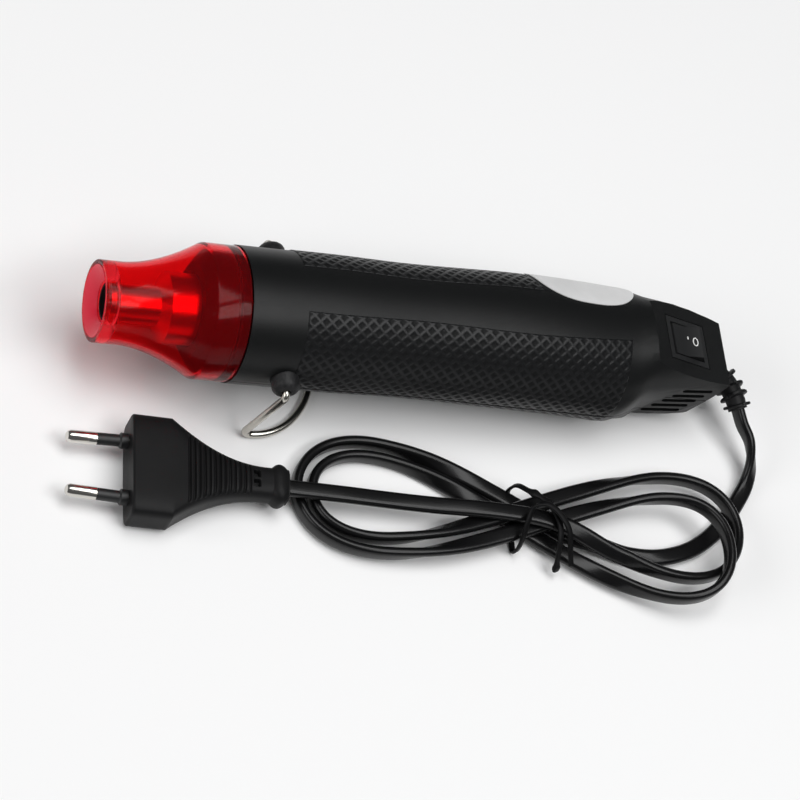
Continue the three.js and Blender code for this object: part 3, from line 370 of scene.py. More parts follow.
class PatternKit:
    """Shader node groups shared by the finishes, each made once."""

    STRETCH = {Pattern.GRAIN: (1.0, 1.0, 1.0), Pattern.DRAWN: (0.08, 1.0, 1.0)}
    SCALES = {"Fine Scale": 2600.0, "Broad Scale": 60.0}
    FINE = {"Detail": 4.0, "Roughness": 0.62}
    BROAD = {"Detail": 3.0}
    SMUDGE = {"From Min": 0.38, "From Max": 0.66}

    def __init__(self) -> None:
        """Builds every group."""
        self.groups = {pattern: self._group(pattern.value, stretch)
                       for pattern, stretch in self.STRETCH.items()}

    def _group(self, name: str, stretch: Triple) -> bpy.types.NodeTree:
        """Fine and broad noise on Object coordinates.

        Args:
            name: name of the group.
            stretch: how far each axis is counted, less for lines drawn along it.

        Returns:
            Group with inputs Fine Scale and Broad Scale and outputs Height, Shade and Smudge.
        """
        tree = bpy.data.node_groups.new(name, "ShaderNodeTree")
        for label, value in self.SCALES.items():
            socket = tree.interface.new_socket(label, in_out="INPUT", socket_type="NodeSocketFloat")
            socket.default_value = value
        for label in ("Height", "Shade", "Smudge"):
            tree.interface.new_socket(label, in_out="OUTPUT", socket_type="NodeSocketFloat")
        nodes, links = tree.nodes, tree.links
        entry, leave = nodes.new("NodeGroupInput"), nodes.new("NodeGroupOutput")
        where, mapped = nodes.new("ShaderNodeTexCoord"), nodes.new("ShaderNodeMapping")
        mapped.inputs["Scale"].default_value = stretch
        links.new(where.outputs["Object"], mapped.inputs["Vector"])
        fine, broad = nodes.new("ShaderNodeTexNoise"), nodes.new("ShaderNodeTexNoise")
        smudge_and_pit_shade = nodes.new("ShaderNodeMapRange")
        for node, values in ((fine, self.FINE), (broad, self.BROAD), (smudge_and_pit_shade, self.SMUDGE)):
            set_inputs(node, values)
        for noise, label in ((fine, "Fine Scale"), (broad, "Broad Scale")):
            links.new(mapped.outputs["Vector"], noise.inputs["Vector"])
            links.new(entry.outputs[label], noise.inputs["Scale"])
        links.new(broad.outputs["Fac"], smudge_and_pit_shade.inputs["Value"])
        links.new(fine.outputs["Fac"], leave.inputs["Height"])
        links.new(broad.outputs["Fac"], leave.inputs["Shade"])
        links.new(smudge_and_pit_shade.outputs["Result"], leave.inputs["Smudge"])
        return tree


@dataclass(frozen=True)
class Finish:
    """One finish: two shades, a range of roughness, and a pattern with its scale and depth.

    Where raised names an attribute of the mesh, the finish goes from the first shade without its coat
    at 0 to the second shade with the whole coat at 1; a darker first shade is painted shade where the
    attribute is low.
    """

    name: str
    colour: Colour
    shade: Colour
    roughness: tuple[float, float]
    metallic: float = 0.0
    ior: float = 1.5
    transmission: float = 0.0
    specular: float = 0.5
    pattern: Pattern = Pattern.GRAIN
    fine: float = 2600.0
    broad: float = 60.0
    depth: float = 0.03
    raised: str = ""
    coat: float = 0.0
    coat_roughness: float = 0.34

    def material(self, kit: PatternKit) -> bpy.types.Material:
        """Args:
            kit: shared node groups.

        Returns:
            The new material.
        """
        made = bpy.data.materials.new(self.name)
        made.use_nodes = True
        nodes, links = made.node_tree.nodes, made.node_tree.links
        shader = next(n for n in nodes if n.type == "BSDF_PRINCIPLED")
        set_inputs(shader, {"Metallic": self.metallic, "IOR": self.ior,
                            "Transmission Weight": self.transmission, "Specular IOR Level": self.specular})
        pattern = nodes.new("ShaderNodeGroup")
        pattern.node_tree = kit.groups[self.pattern]
        set_inputs(pattern, {"Fine Scale": self.fine, "Broad Scale": self.broad})
        blend = nodes.new("ShaderNodeMix")
        blend.data_type = "RGBA"
        colours = [s for s in blend.inputs if s.type == "RGBA"]
        colours[0].default_value = (*self.colour, 1.0)
        colours[1].default_value = (*self.shade, 1.0)
        smudge_and_pit_shade, shade = pattern.outputs["Smudge"], pattern.outputs["Shade"]
        if self.raised:
            # The attribute is 1 on the raised lines and 0 between them, where the darker first colour is
            # painted shade in the pits.
            lines = nodes.new("ShaderNodeAttribute")
            lines.attribute_name = self.raised
            smudge_and_pit_shade = shade = lines.outputs["Fac"]
            set_inputs(shader, {"Coat Roughness": self.coat_roughness})
            gloss = nodes.new("ShaderNodeMapRange")
            set_inputs(gloss, {"To Max": self.coat})
            links.new(smudge_and_pit_shade, gloss.inputs["Value"])
            links.new(gloss.outputs["Result"], shader.inputs["Coat Weight"])
        links.new(smudge_and_pit_shade, blend.inputs[0])
        links.new(next(s for s in blend.outputs if s.type == "RGBA"), shader.inputs["Base Color"])
        rough = nodes.new("ShaderNodeMapRange")
        set_inputs(rough, {"To Min": self.roughness[0], "To Max": self.roughness[1]})
        links.new(shade, rough.inputs["Value"])
        links.new(rough.outputs["Result"], shader.inputs["Roughness"])
        bump = nodes.new("ShaderNodeBump")
        set_inputs(bump, {"Strength": self.depth, "Distance": MM})
        links.new(pattern.outputs["Height"], bump.inputs["Height"])
        links.new(bump.outputs["Normal"], shader.inputs["Normal"])
        return made


class Finishes:
    """All finishes of the tool, each with its material made on first use."""

    HOUSING = Finish("satin_black_housing", (0.0062, 0.0066, 0.0068), (0.0050, 0.0054, 0.0056), (0.34, 0.43),
                     specular=0.20, depth=0.05)
    # Grip: the darker first colour is painted shade in the pits between the lines; the second is the lines'
    # own colour.
    GRIP = Finish("grip_pattern_black", (0.0054, 0.0056, 0.0059), (0.0076, 0.0080, 0.0086), (0.54, 0.36),
                  specular=0.12, depth=0.02, raised="raised", coat=0.20)
    BOSS = Finish("speckled_black_boss", (0.006, 0.006, 0.0065), (0.014, 0.014, 0.015), (0.35, 0.60),
                  specular=0.30, broad=1400.0, depth=0.20, fine=1800.0)
    COVER = Finish("tinted_red_cover", (0.92, 0.022, 0.034), (0.86, 0.018, 0.028), (0.09, 0.14), ior=1.17,
                   transmission=0.94, fine=900.0, broad=40.0, depth=0.004)
    DISH = Finish("red_dish_face", (0.80, 0.016, 0.050), (0.74, 0.012, 0.040), (0.30, 0.45),
                  specular=0.3, broad=90.0, depth=0.02)
    # Near-black lining that paints the shade inside the air tube's bore.
    BORE_SHADE = Finish("painted_bore_shade", (0.006, 0.006, 0.006), (0.010, 0.009, 0.008), (0.65, 0.85),
                  specular=0.1, broad=300.0, depth=0.08)
    TUBE = Finish("air_tube_steel", (0.82, 0.81, 0.79), (0.66, 0.64, 0.62), (0.24, 0.40), metallic=1.0,
                  pattern=Pattern.DRAWN, fine=3500.0, broad=120.0, depth=0.03)
    WIRE = Finish("stand_wire_steel", (0.58, 0.56, 0.51), (0.46, 0.44, 0.40), (0.14, 0.28), metallic=1.0,
                  pattern=Pattern.DRAWN, fine=4000.0, broad=150.0, depth=0.02)
    NICKEL = Finish("pin_nickel", (0.74, 0.72, 0.68), (0.62, 0.60, 0.56), (0.10, 0.22), metallic=1.0,
                    pattern=Pattern.DRAWN, fine=4200.0, broad=160.0, depth=0.015)
    SCREW = Finish("screw_steel", (0.45, 0.45, 0.46), (0.33, 0.33, 0.34), (0.25, 0.42), metallic=1.0,
                   depth=0.03)
    MICA = Finish("mica_sheet", (0.52, 0.44, 0.28), (0.40, 0.33, 0.20), (0.45, 0.70), broad=220.0, depth=0.06)
    CERAMIC = Finish("heater_ceramic", (0.80, 0.76, 0.68), (0.70, 0.66, 0.58), (0.60, 0.85), broad=260.0,
                     depth=0.10)
    COIL = Finish("coil_resistance_wire", (0.36, 0.33, 0.30), (0.24, 0.21, 0.19), (0.30, 0.52), metallic=1.0,
                  broad=300.0, depth=0.04)
    SWITCH = Finish("switch_black", (0.0070, 0.0074, 0.0080), (0.0056, 0.0060, 0.0066), (0.42, 0.55),
                    specular=0.50, depth=0.03)
    BULKHEAD = Finish("bulkhead_black", (0.006, 0.006, 0.006), (0.004, 0.004, 0.004), (0.40, 0.60),
                      specular=0.25, depth=0.04)
    CAN = Finish("motor_can_zinc", (0.52, 0.53, 0.55), (0.40, 0.41, 0.43), (0.28, 0.46), metallic=1.0,
                 pattern=Pattern.DRAWN, broad=100.0, depth=0.03)
    FAN = Finish("fan_nylon", (0.030, 0.031, 0.033), (0.020, 0.021, 0.022), (0.42, 0.58), depth=0.05)
    BOARD = Finish("board_laminate", (0.09, 0.18, 0.05), (0.06, 0.13, 0.03), (0.40, 0.58), broad=400.0,
                   depth=0.08)
    BRASS = Finish("terminal_brass", (0.66, 0.50, 0.20), (0.52, 0.37, 0.13), (0.24, 0.40), metallic=1.0,
                   depth=0.03)
    DIODE = Finish("diode_epoxy", (0.012, 0.012, 0.013), (0.018, 0.018, 0.019), (0.35, 0.50), depth=0.05)
    LABEL = Finish("bare_label_film", (0.72, 0.72, 0.72), (0.66, 0.66, 0.66), (0.28, 0.42), broad=90.0,
                   depth=0.02)
    MARK = Finish("switch_mark_white", (0.80, 0.80, 0.79), (0.70, 0.70, 0.69), (0.40, 0.55), broad=500.0,
                  depth=0.04)
    CORD = Finish("cord_black_sheath", (0.0052, 0.0052, 0.0055), (0.0042, 0.0042, 0.0045), (0.20, 0.30),
                  specular=0.28, depth=0.03)
    PLUG = Finish("plug_black_moulding", (0.0100, 0.0100, 0.0104), (0.0080, 0.0080, 0.0084), (0.36, 0.50),
                  specular=0.10, depth=0.06)
    RELIEF = Finish("relief_black_rubber", (0.0044, 0.0044, 0.0048), (0.0034, 0.0034, 0.0038), (0.45, 0.62),
                    specular=0.25, depth=0.06)
    TIE = Finish("tie_black_film", (0.0044, 0.0044, 0.0048), (0.0034, 0.0034, 0.0038), (0.40, 0.55),
                 specular=0.12, depth=0.05)
    INSULATION = Finish("lead_brown_insulation", (0.15, 0.05, 0.02), (0.11, 0.035, 0.014), (0.40, 0.55),
                        depth=0.03)

    def __init__(self) -> None:
        """Makes the pattern kit and an empty shelf of materials."""
        self.kit = PatternKit()
        self.made: dict[str, bpy.types.Material] = {}

    def of(self, finish: Finish) -> bpy.types.Material:
        """The material of a finish, made once."""
        if finish.name not in self.made:
            self.made[finish.name] = finish.material(self.kit)
        return self.made[finish.name]

    def dress(self, obj: bpy.types.Object, finish: Finish) -> None:
        """Puts one finish all over an object."""
        if obj.data.materials:
            obj.material_slots[0].material = self.of(finish)
        else:
            obj.data.materials.append(self.of(finish))


@dataclass
class SubAssembly:
    """Base of the sub-assemblies: puts a finished piece into the frame."""

    finishes: Finishes

    def settle(self, obj: bpy.types.Object, finish: Finish, body: Body, slot: str,
               *nodes: str) -> bpy.types.Object:
        """Dresses a piece, lets it ride on a body and stand for solids.

        Args:
            obj: the piece.
            finish: finish put all over it.
            body: body it rides on.
            slot: not used.
            nodes: names of the solids that it replaces.

        Returns:
            The same piece.
        """
        self.finishes.dress(obj, finish)
        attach(obj, body.value)
        if nodes:
            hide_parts(*nodes)
        LOG.info("%s: %d faces", obj.name, len(obj.data.polygons))
        return obj


@dataclass(frozen=True)
class Softbox:
    """Rectangular lamp at a place, turned to a target, in metres and watts."""

    name: str
    place: Triple
    target: Triple
    size: tuple[float, float]
    power: float

    def hang(self) -> None:
        """Makes the lamp and links it to the scene."""
        data = bpy.data.lights.new(self.name, "AREA")
        data.shape = "RECTANGLE"
        data.size, data.size_y = self.size
        data.energy = self.power
        lamp = bpy.data.objects.new(self.name, data)
        aim = Vector(self.target) - Vector(self.place)
        lamp.matrix_world = Matrix.Translation(self.place) @ aim.to_track_quat("-Z", "Y").to_matrix().to_4x4()
        bpy.context.scene.collection.objects.link(lamp)


@dataclass
class Studio:
    """Pale floor, soft lights and the camera at the photograph's place, in metres."""

    location: Triple = (-0.34456, -0.42836, 0.77467)
    right: Triple = (0.9309, -0.1143, 0.3470)
    up: Triple = (-0.0600, 0.8890, 0.4539)
    back: Triple = (-0.3604, -0.4433, 0.8207)
    lens: float = 132.47
    sensor: float = 36.0
    floor_size: float = 8.0
    floor_drop: float = 0.00005
    sky_colour: Colour = (0.97, 0.98, 1.0)
    sky_strength: float = 0.10

    PAPER = {"Base Color": (0.93, 0.93, 0.93, 1.0), "Roughness": 0.85, "Specular IOR Level": 0.2}
    LAMPS = (
        Softbox("overhead_softbox", (0.05, 0.05, 1.55), (0.0, 0.0, 0.0), (1.1, 0.9), 14.5),
        Softbox("front_softbox", (0.52, -0.60, 1.26), (0.0, -0.02, 0.0), (0.9, 0.40), 7.0),
        Softbox("nozzle_softbox", (-1.40, -0.25, 0.75), (-0.1, 0.0, 0.03), (1.0, 0.8), 7.5),
    )

    def build(self) -> None:
        """Makes the camera, the lights and the floor."""
        self.camera()
        self.floor()
        world = bpy.data.worlds.new("studio_air")
        bpy.context.scene.world = world
        world.use_nodes = True
        sky = world.node_tree.nodes["Background"]
        set_inputs(sky, {"Color": (*self.sky_colour, 1.0), "Strength": self.sky_strength})
        for lamp in self.LAMPS:
            lamp.hang()
        bpy.context.scene.view_settings.view_transform = "Standard"

    def camera(self) -> None:
        """Camera whose axes and place were found from the photograph."""
        data = bpy.data.cameras.new("photo_camera")
        data.lens = self.lens
        data.sensor_width = self.sensor
        data.sensor_fit = "HORIZONTAL"
        data.clip_start = 0.01
        camera = bpy.data.objects.new("photo_camera", data)
        turn = Matrix((self.right, self.up, self.back)).transposed().to_quaternion().to_matrix().to_4x4()
        camera.matrix_world = Matrix.Translation(self.location) @ turn
        bpy.context.scene.collection.objects.link(camera)
        bpy.context.scene.camera = camera

    def floor(self) -> None:
        """Flat pale sheet just under the lowest point of the part."""
        half = self.floor_size / 2
        corners = np.array([(-1, -1), (1, -1), (1, 1), (-1, 1)], float) * half
        points = np.column_stack([corners, np.full(4, -self.floor_drop)])
        mesh = bpy.data.meshes.new("studio_floor")
        mesh.from_pydata(points.tolist(), [], [(0, 1, 2, 3)])
        floor = bpy.data.objects.new("studio_floor", mesh)
        bpy.context.scene.collection.objects.link(floor)
        paper = bpy.data.materials.new("pale_paper")
        paper.use_nodes = True
        shader = next(n for n in paper.node_tree.nodes if n.type == "BSDF_PRINCIPLED")
        set_inputs(shader, self.PAPER)
        mesh.materials.append(paper)


@dataclass
class FlatCord(SubAssembly):
    """Flat mains cord tied in a figure of eight, its tie and its plug, in millimetres and degrees."""

    width: float = 5.6
    thickness: float = 3.0
    join: float = 0.3
    buried: float = 1.2
    waist: tuple[float, float] = (102.7, -52.5)
    turn: float = -6.0
    hank_end: float = 1.93
    hank_steps: int = 400
    lead_steps: int = 160
    run_steps: int = 130
    tie_steps: int = 320
    exit_straight: float = 5.0
    hank_straight: tuple[float, float] = (14.0, 6.0)
    run_straight: float = 6.0
    waist_flat: float = 0.02
    waist_twist: float = 0.09
    lead_twist: float = 0.32
    lead_lean: float = 0.45
    run_twist: float = 0.3
    reach: tuple[float, ...] = (75, 77, 74, 66, 70, 72, 73, 73, 73)
    spread: tuple[float, ...] = (17, 18.2, 17, 17.5, 17, 15.6, 17, 18, 18)
    offset: tuple[float, ...] = (3.7, 0, -3.7, -6, -3.7, 0, 3.7, 5, 2)
    height: tuple[float, ...] = (2.9, 3, 6.7, 14.1, 2.9, 3, 6.7, 6.7, 10.5)
    tie_width: float = 2.0
    tie_thickness: float = 1.0
    knots: tuple[float, ...] = (0.012, 0.215, 0.262)
    knot_half_length: float = 0.011
    knot_swell: float = 0.6
    tie_facing: Triple = (1.0, 0.6, 0.0)
    plug_face: Triple = (-29.0, -43.5, 7.0)
    plug_turn: float = -4.5
    plug_lift: float = 1.3
    plug_length: float = 50.0
    plug_half_width: float = 17.0
    plug_half_thickness: float = 6.85
    plug_body: float = 12.6
    plug_taper_end: float = 43.0
    plug_taper_power: float = 2.1
    plug_edge: float = 0.8
    plug_power: float = 6.0
    neck_power: float = 3.0
    plug_sides: int = 200
    neck_half_width: float = 5.3
    neck_half_thickness: float = 4.2
    bead_swell: float = 1.4
    bead_at: float = 47.2
    bead_half_length: float = 2.4
    rib_from: float = 16.8
    rib_to: float = 38.2
    rib_count: int = 13
    rib_depth: float = 0.8
    rib_gain: float = 1.6
    rib_level: float = 0.5
    rib_reach: float = 0.90
    rib_fade: float = 0.10
    window_at: float = 39.5
    window_half_length: float = 1.15
    window_across: tuple[float, float] = (0.35, 2.8)
    window_depth: float = 2.0
    window_fade: tuple[float, float] = (0.3, 0.4)
    front_rows: tuple[float, ...] = (0, 0.06, 0.2, 0.45, 0.8)
    body_from: float = 1.2
    body_rows: int = 12
    neck_rows: int = 190

    LEAD = np.array([
        (184.6, -22.6, 10.2), (185.9, -29.5, 5.8), (184.4, -35.2, 3.0), (181.0, -40.4, 2.0),
        (175.6, -47.2, 1.9), (169.0, -53.6, 1.9), (161.1, -58.8, 2.1), (152.5, -62.0, 2.6),
        (144.2, -63.2, 2.9), (135.6, -62.4, 2.9), (127.2, -59.6, 2.8),
    ])
    RUN = np.array([
        (113.5, -57.2, 10.4), (104.0, -54.4, 10.5), (94.0, -53.2, 10.6), (84.0, -52.4, 10.4),
        (70.0, -51.3, 9.1), (57.6, -50.2, 8.4), (40.0, -48.9, 8.5),
    ])
    TIE = np.array([
        (110.1, -69.6, 3.6), (109.4, -66.4, 8.6), (109.2, -62.4, 12.6), (109.2, -57.4, 13.6),
        (107.4, -52.6, 13.8), (104.0, -48.8, 13.6), (100.4, -46.2, 12.6), (98.6, -43.0, 9.4),
        (98.2, -41.8, 5.4), (98.1, -41.8, 2.4), (98.0, -43.2, 0.8), (97.9, -46.6, 0.6),
        (97.8, -57.4, 0.6), (97.6, -61.8, 0.8), (97.5, -63.0, 3.0), (97.5, -62.8, 6.4),
        (97.7, -60.8, 10.2), (98.4, -57.4, 13.2), (100.0, -53.6, 15.4), (103.4, -52.4, 16.6),
        (107.4, -54.6, 16.6), (111.6, -60.2, 14.6), (113.0, -65.0, 10.6), (114.4, -68.6, 6.4),
    ])
    PLUG_NODES = ("plug_pin_left", "plug_pin_right", "plug_sleeve_left", "plug_sleeve_right")

    def eased(self, values: Sequence[float], u: Array) -> Array:
        """Values given at each quarter turn, joined by half cosine waves."""
        table = np.asarray(values, float)
        k = np.minimum(np.floor(4 * u), len(table) - 2).astype(int)
        return mix(table[k], table[k + 1], ease(4 * u - k))

    def hank(self, u: Array) -> Array:
        """Figure of eight: (reach cos, spread sin 2 + offset) of the turn, turned about the waist.

        Args:
            u: turns made, from 0.

        Returns:
            Route points.
        """
        angle = 1.5 * np.pi - 2 * np.pi * u
        x = self.eased(self.reach, u) * np.cos(angle)
        y = self.eased(self.spread, u) * np.sin(2 * angle) + self.eased(self.offset, u)
        c, s = math.cos(math.radians(self.turn)), math.sin(math.radians(self.turn))
        across, along = x * c - y * s + self.waist[0], x * s + y * c + self.waist[1]
        return np.stack([across, along, self.eased(self.height, u)], axis=1)

    def hank_roll(self, u: Array) -> Array:
        """Cord flat at the waist and on edge in the lobes."""
        from_waist = np.abs(u - np.round(2 * u) / 2)
        return np.pi / 2 * ease((from_waist - self.waist_flat) / self.waist_twist)

    def plug_points(self, local: Array) -> Array:
        """Plug points, lifted about Y and turned about Z at the plug's face, as route points."""
        lift, turn = math.radians(self.plug_lift), math.radians(self.plug_turn)
        x, y, z = np.moveaxis(np.asarray(local, float), -1, 0)
        x, z = x * math.cos(lift) - z * math.sin(lift), x * math.sin(lift) + z * math.cos(lift)
        x, y = x * math.cos(turn) - y * math.sin(turn), x * math.sin(turn) + y * math.cos(turn)
        return np.stack([x, y, z], axis=-1) + self.plug_face

    def route(self) -> tuple[Array, Array]:
        """Centre line of the cord from relief to plug in metres, and its roll at each point."""
        u = np.linspace(0, self.hank_end, self.hank_steps)
        hank = self.hank(u)
        first, last = unit(hank[1] - hank[0]), unit(hank[-1] - hank[-2])
        start, end = hank[0] - self.join * first, hank[-1] + self.join * last
        way = unit(np.asarray(PLACE.exit_way))
        tip = PLACE.cord_exit() / MM
        tip[0] = PLACE.route_exit_at
        far, near = self.hank_straight
        lead = spline(np.vstack([tip + self.join * way, tip + self.exit_straight * way, self.LEAD,
                                 start - far * first, start - near * first, start]), self.lead_steps)
        plug_end = self.plug_points([self.plug_length + self.join, 0, 0])
        plug_way = unit(plug_end - self.plug_points([0, 0, 0]))
        run = spline(np.vstack([end, end + self.run_straight * last, self.RUN,
                                plug_end + self.run_straight * plug_way, plug_end]), self.run_steps)
        t, f = np.linspace(0, 1, len(lead)), np.linspace(0, 1, len(run))
        lean = self.lead_lean * np.sin(np.pi * (2 * t - 1)) ** 2
        lead_roll = np.pi / 2 * np.where(t < 0.5, 1 - ease(t / self.lead_twist), lean)
        run_roll = self.hank_roll(u[-1:]) * (1 - ease(f / self.run_twist))
        path = np.vstack([tip - self.buried * way, lead, hank, run, plug_end - self.buried * plug_way])
        roll = np.concatenate([lead_roll[:1], lead_roll, self.hank_roll(u), run_roll, run_roll[-1:]])
        return PLACE.from_route(path), roll

    def build(self, nodes: dict[str, bpy.types.Object]) -> None:
        """Args:
            nodes: the solids by name; not used.
        """
        path, roll = self.route()
        section = rolled(flat_section(self.width * MM, self.thickness * MM), roll)
        cord = skin("flat_cord", sweep(path, level_frames(path), section), crease=60)
        self.settle(cord, Finishes.CORD, Body.TOOL, "cord", "cord_lead", "cord_hank", "cord_plug_run")
        tie, plug = self.tie(), self.plug()

    def tie(self) -> bpy.types.Object:
        """Flat tie carried once round the waist, its broad side kept toward one direction.

        The section grows by 1 + swell exp(-(distance / half length)^2) at each knot, with distances as
        shares of the tie's length.
        """
        path = PLACE.from_route(spline(self.TIE, self.tie_steps))
        share = np.linspace(0, 1, len(path))[:, None]
        swell = np.exp(-((share - np.asarray(self.knots)) / self.knot_half_length) ** 2).sum(axis=1)
        section = flat_section(self.tie_width * MM, self.tie_thickness * MM, 7)
        section = section * (1 + self.knot_swell * swell)[:, None, None]
        band = skin("twist_tie_band", sweep(path, faced_frames(path, self.tie_facing), section), crease=60)
        return self.settle(band, Finishes.TIE, Body.TOOL, "cord", "twist_tie")

    def plug(self) -> bpy.types.Object:
        """Plug moulding: flat body, ribbed neck that tapers, and a bead.

        Each ring is a superellipse |y / half|^n + |z / rise|^n = 1; half and rise fall along the
        taper, swell at the bead and draw in at the front edge, and the ribs are grooves across the
        broad faces of the neck, with two small windows behind them.

        Returns:
            The piece.
        """
        x = np.concatenate([self.front_rows, np.linspace(self.body_from, self.plug_body, self.body_rows),
                            np.linspace(self.plug_body + 0.3, self.plug_length, self.neck_rows)])
        t = np.clip((x - self.plug_body) / (self.plug_taper_end - self.plug_body), 0, 1)
        fall = (1 - t) ** self.plug_taper_power
        bead = self.bead_swell * np.maximum(1 - ((x - self.bead_at) / self.bead_half_length) ** 2, 0)
        edge = self.plug_edge - np.sqrt(self.plug_edge**2 - np.maximum(self.plug_edge - x, 0) ** 2)
        half = mix(self.neck_half_width, self.plug_half_width, fall) + bead - edge
        rise = mix(self.neck_half_thickness, self.plug_half_thickness, 1 - ease(t)) + bead / 2 - edge
        power = mix(self.neck_power, self.plug_power, fall)[:, None]
        turn = full_turn(self.plug_sides) + np.pi / self.plug_sides
        across, up = signed_power(np.cos(turn)[None], 2 / power), signed_power(np.sin(turn)[None], 2 / power)
        phase = (x - self.rib_from) / (self.rib_to - self.rib_from) * self.rib_count
        inside = ease((x - self.rib_from) * 2) * ease((self.rib_to - x) * 2)
        wave = np.clip(self.rib_gain * np.sin(np.pi * phase) ** 2 - self.rib_level, 0, 1)
        groove = self.rib_depth * inside * wave
        reachable = ease((self.rib_reach - np.abs(across)) / self.rib_fade)
        y = across * half[:, None]
        (inner, outer), (fade_along, fade) = self.window_across, self.window_fade
        window = ease((self.window_half_length - np.abs(x - self.window_at)) / fade_along)[:, None]
        window = window * ease((np.abs(y) - inner) / fade) * ease((outer - np.abs(y)) / fade)
        z = up * (rise[:, None] - groove[:, None] * reachable - self.window_depth * window)
        grid = np.stack([np.broadcast_to(x[:, None], z.shape), y, z], axis=-1)
        moulding = skin("plug_moulding", PLACE.from_route(self.plug_points(grid)), crease=40)
        return self.settle(moulding, Finishes.PLUG, Body.TOOL, "cord", "plug_body")


@dataclass
class StrainRelief(SubAssembly):
    """Finned rubber sleeve in the end wall, bent aside and down, in millimetres."""

    seat_slant: float = 20.0
    flange_back: float = -4.1
    straight: float = 4.5
    bend: Triple = (9.6, -3.2, -2.5)
    tip_straight: float = 4.0
    flange_radius: float = 6.2
    flange_thickness: float = 1.6
    flange_step: float = 0.1
    neck_radius: float = 3.6
    tip_radius: float = 3.2
    fin_radius: float = 5.5
    fin_taper: float = 0.9
    fin_width: float = 1.1
    fin_count: int = 7
    fin_breadth: float = 1.9
    fin_turn: float = 0.4
    fin_start: float = 0.3
    fin_edge: tuple[float, float] = (0.08, 0.3)
    tip_margin: float = 0.8
    line_steps: int = 800
    sides: int = 64

    def build(self) -> None:
        """Round sections carried along the bent line; fins stand out on two sides, crossed in turn.

        The radius is core + (fin - core) * clip(breadth |cos(turn - k 90 degrees)|), so each fin is
        cut away on two sides and the next one on the other two.
        """
        slant = math.radians(self.seat_slant)
        seat = np.asarray(PLACE.relief_seat)
        out = np.array([math.cos(slant), 0, -math.sin(slant)])
        on_table = [PLACE.from_tool(seat + out * d) for d in (self.flange_back, 0.0, self.straight)]
        tip, way = PLACE.cord_exit(), unit(np.asarray(PLACE.exit_way))
        bend = on_table[1] + np.asarray(self.bend) * MM
        line = spline(np.vstack([*on_table, bend, tip - self.tip_straight * MM * way, tip]), self.line_steps)
        length = np.linalg.norm(np.diff(line, axis=0), axis=1).sum() / MM
        start = self.fin_start - self.flange_back
        pitch = (length - start - self.fin_width - self.tip_margin) / (self.fin_count - 1)
        steps = [(0, self.flange_radius, 0), (self.flange_thickness, self.flange_radius, 0),
                 (self.flange_thickness + self.flange_step, self.neck_radius, 0)]
        width, (foot, crown) = self.fin_width, self.fin_edge
        for i in range(self.fin_count):
            at, share = start + i * pitch, i / (self.fin_count - 1)
            core = mix(self.neck_radius, self.tip_radius, share)
            fin = self.fin_radius - self.fin_taper * share - core
            shape = ((0.0, 0.0), (foot, 0.8), (crown, 1.0), (width - crown, 1.0), (width - foot, 0.8),
                     (width, 0.0), ((width + pitch) / 2, 0.0))
            steps += [(at + d, core, fin * rise) for d, rise in shape if at + d < length]
        steps.append((length, self.tip_radius, 0))
        s, core, fin = np.array(steps, float).T
        at = np.linspace(0, length, len(line))
        centre = read_along(s, at, line)
        frames = tuple(unit(read_along(s, at, rows)) for rows in level_frames(line))
        turn = full_turn(self.sides)
        quarter = np.floor((s - start) / pitch)[:, None] * (np.pi / 2)
        lobes = np.clip(self.fin_breadth * np.abs(np.cos(turn - quarter - self.fin_turn)), 0, 1)
        radius = (core[:, None] + fin[:, None] * lobes) * MM
        section = np.stack([radius * np.cos(turn), radius * np.sin(turn)], axis=-1)
        sleeve = skin("strain_relief_sleeve", sweep(centre, frames, section), crease=40)
        self.settle(sleeve, Finishes.RELIEF, Body.TOOL, "cord", "strain_relief")


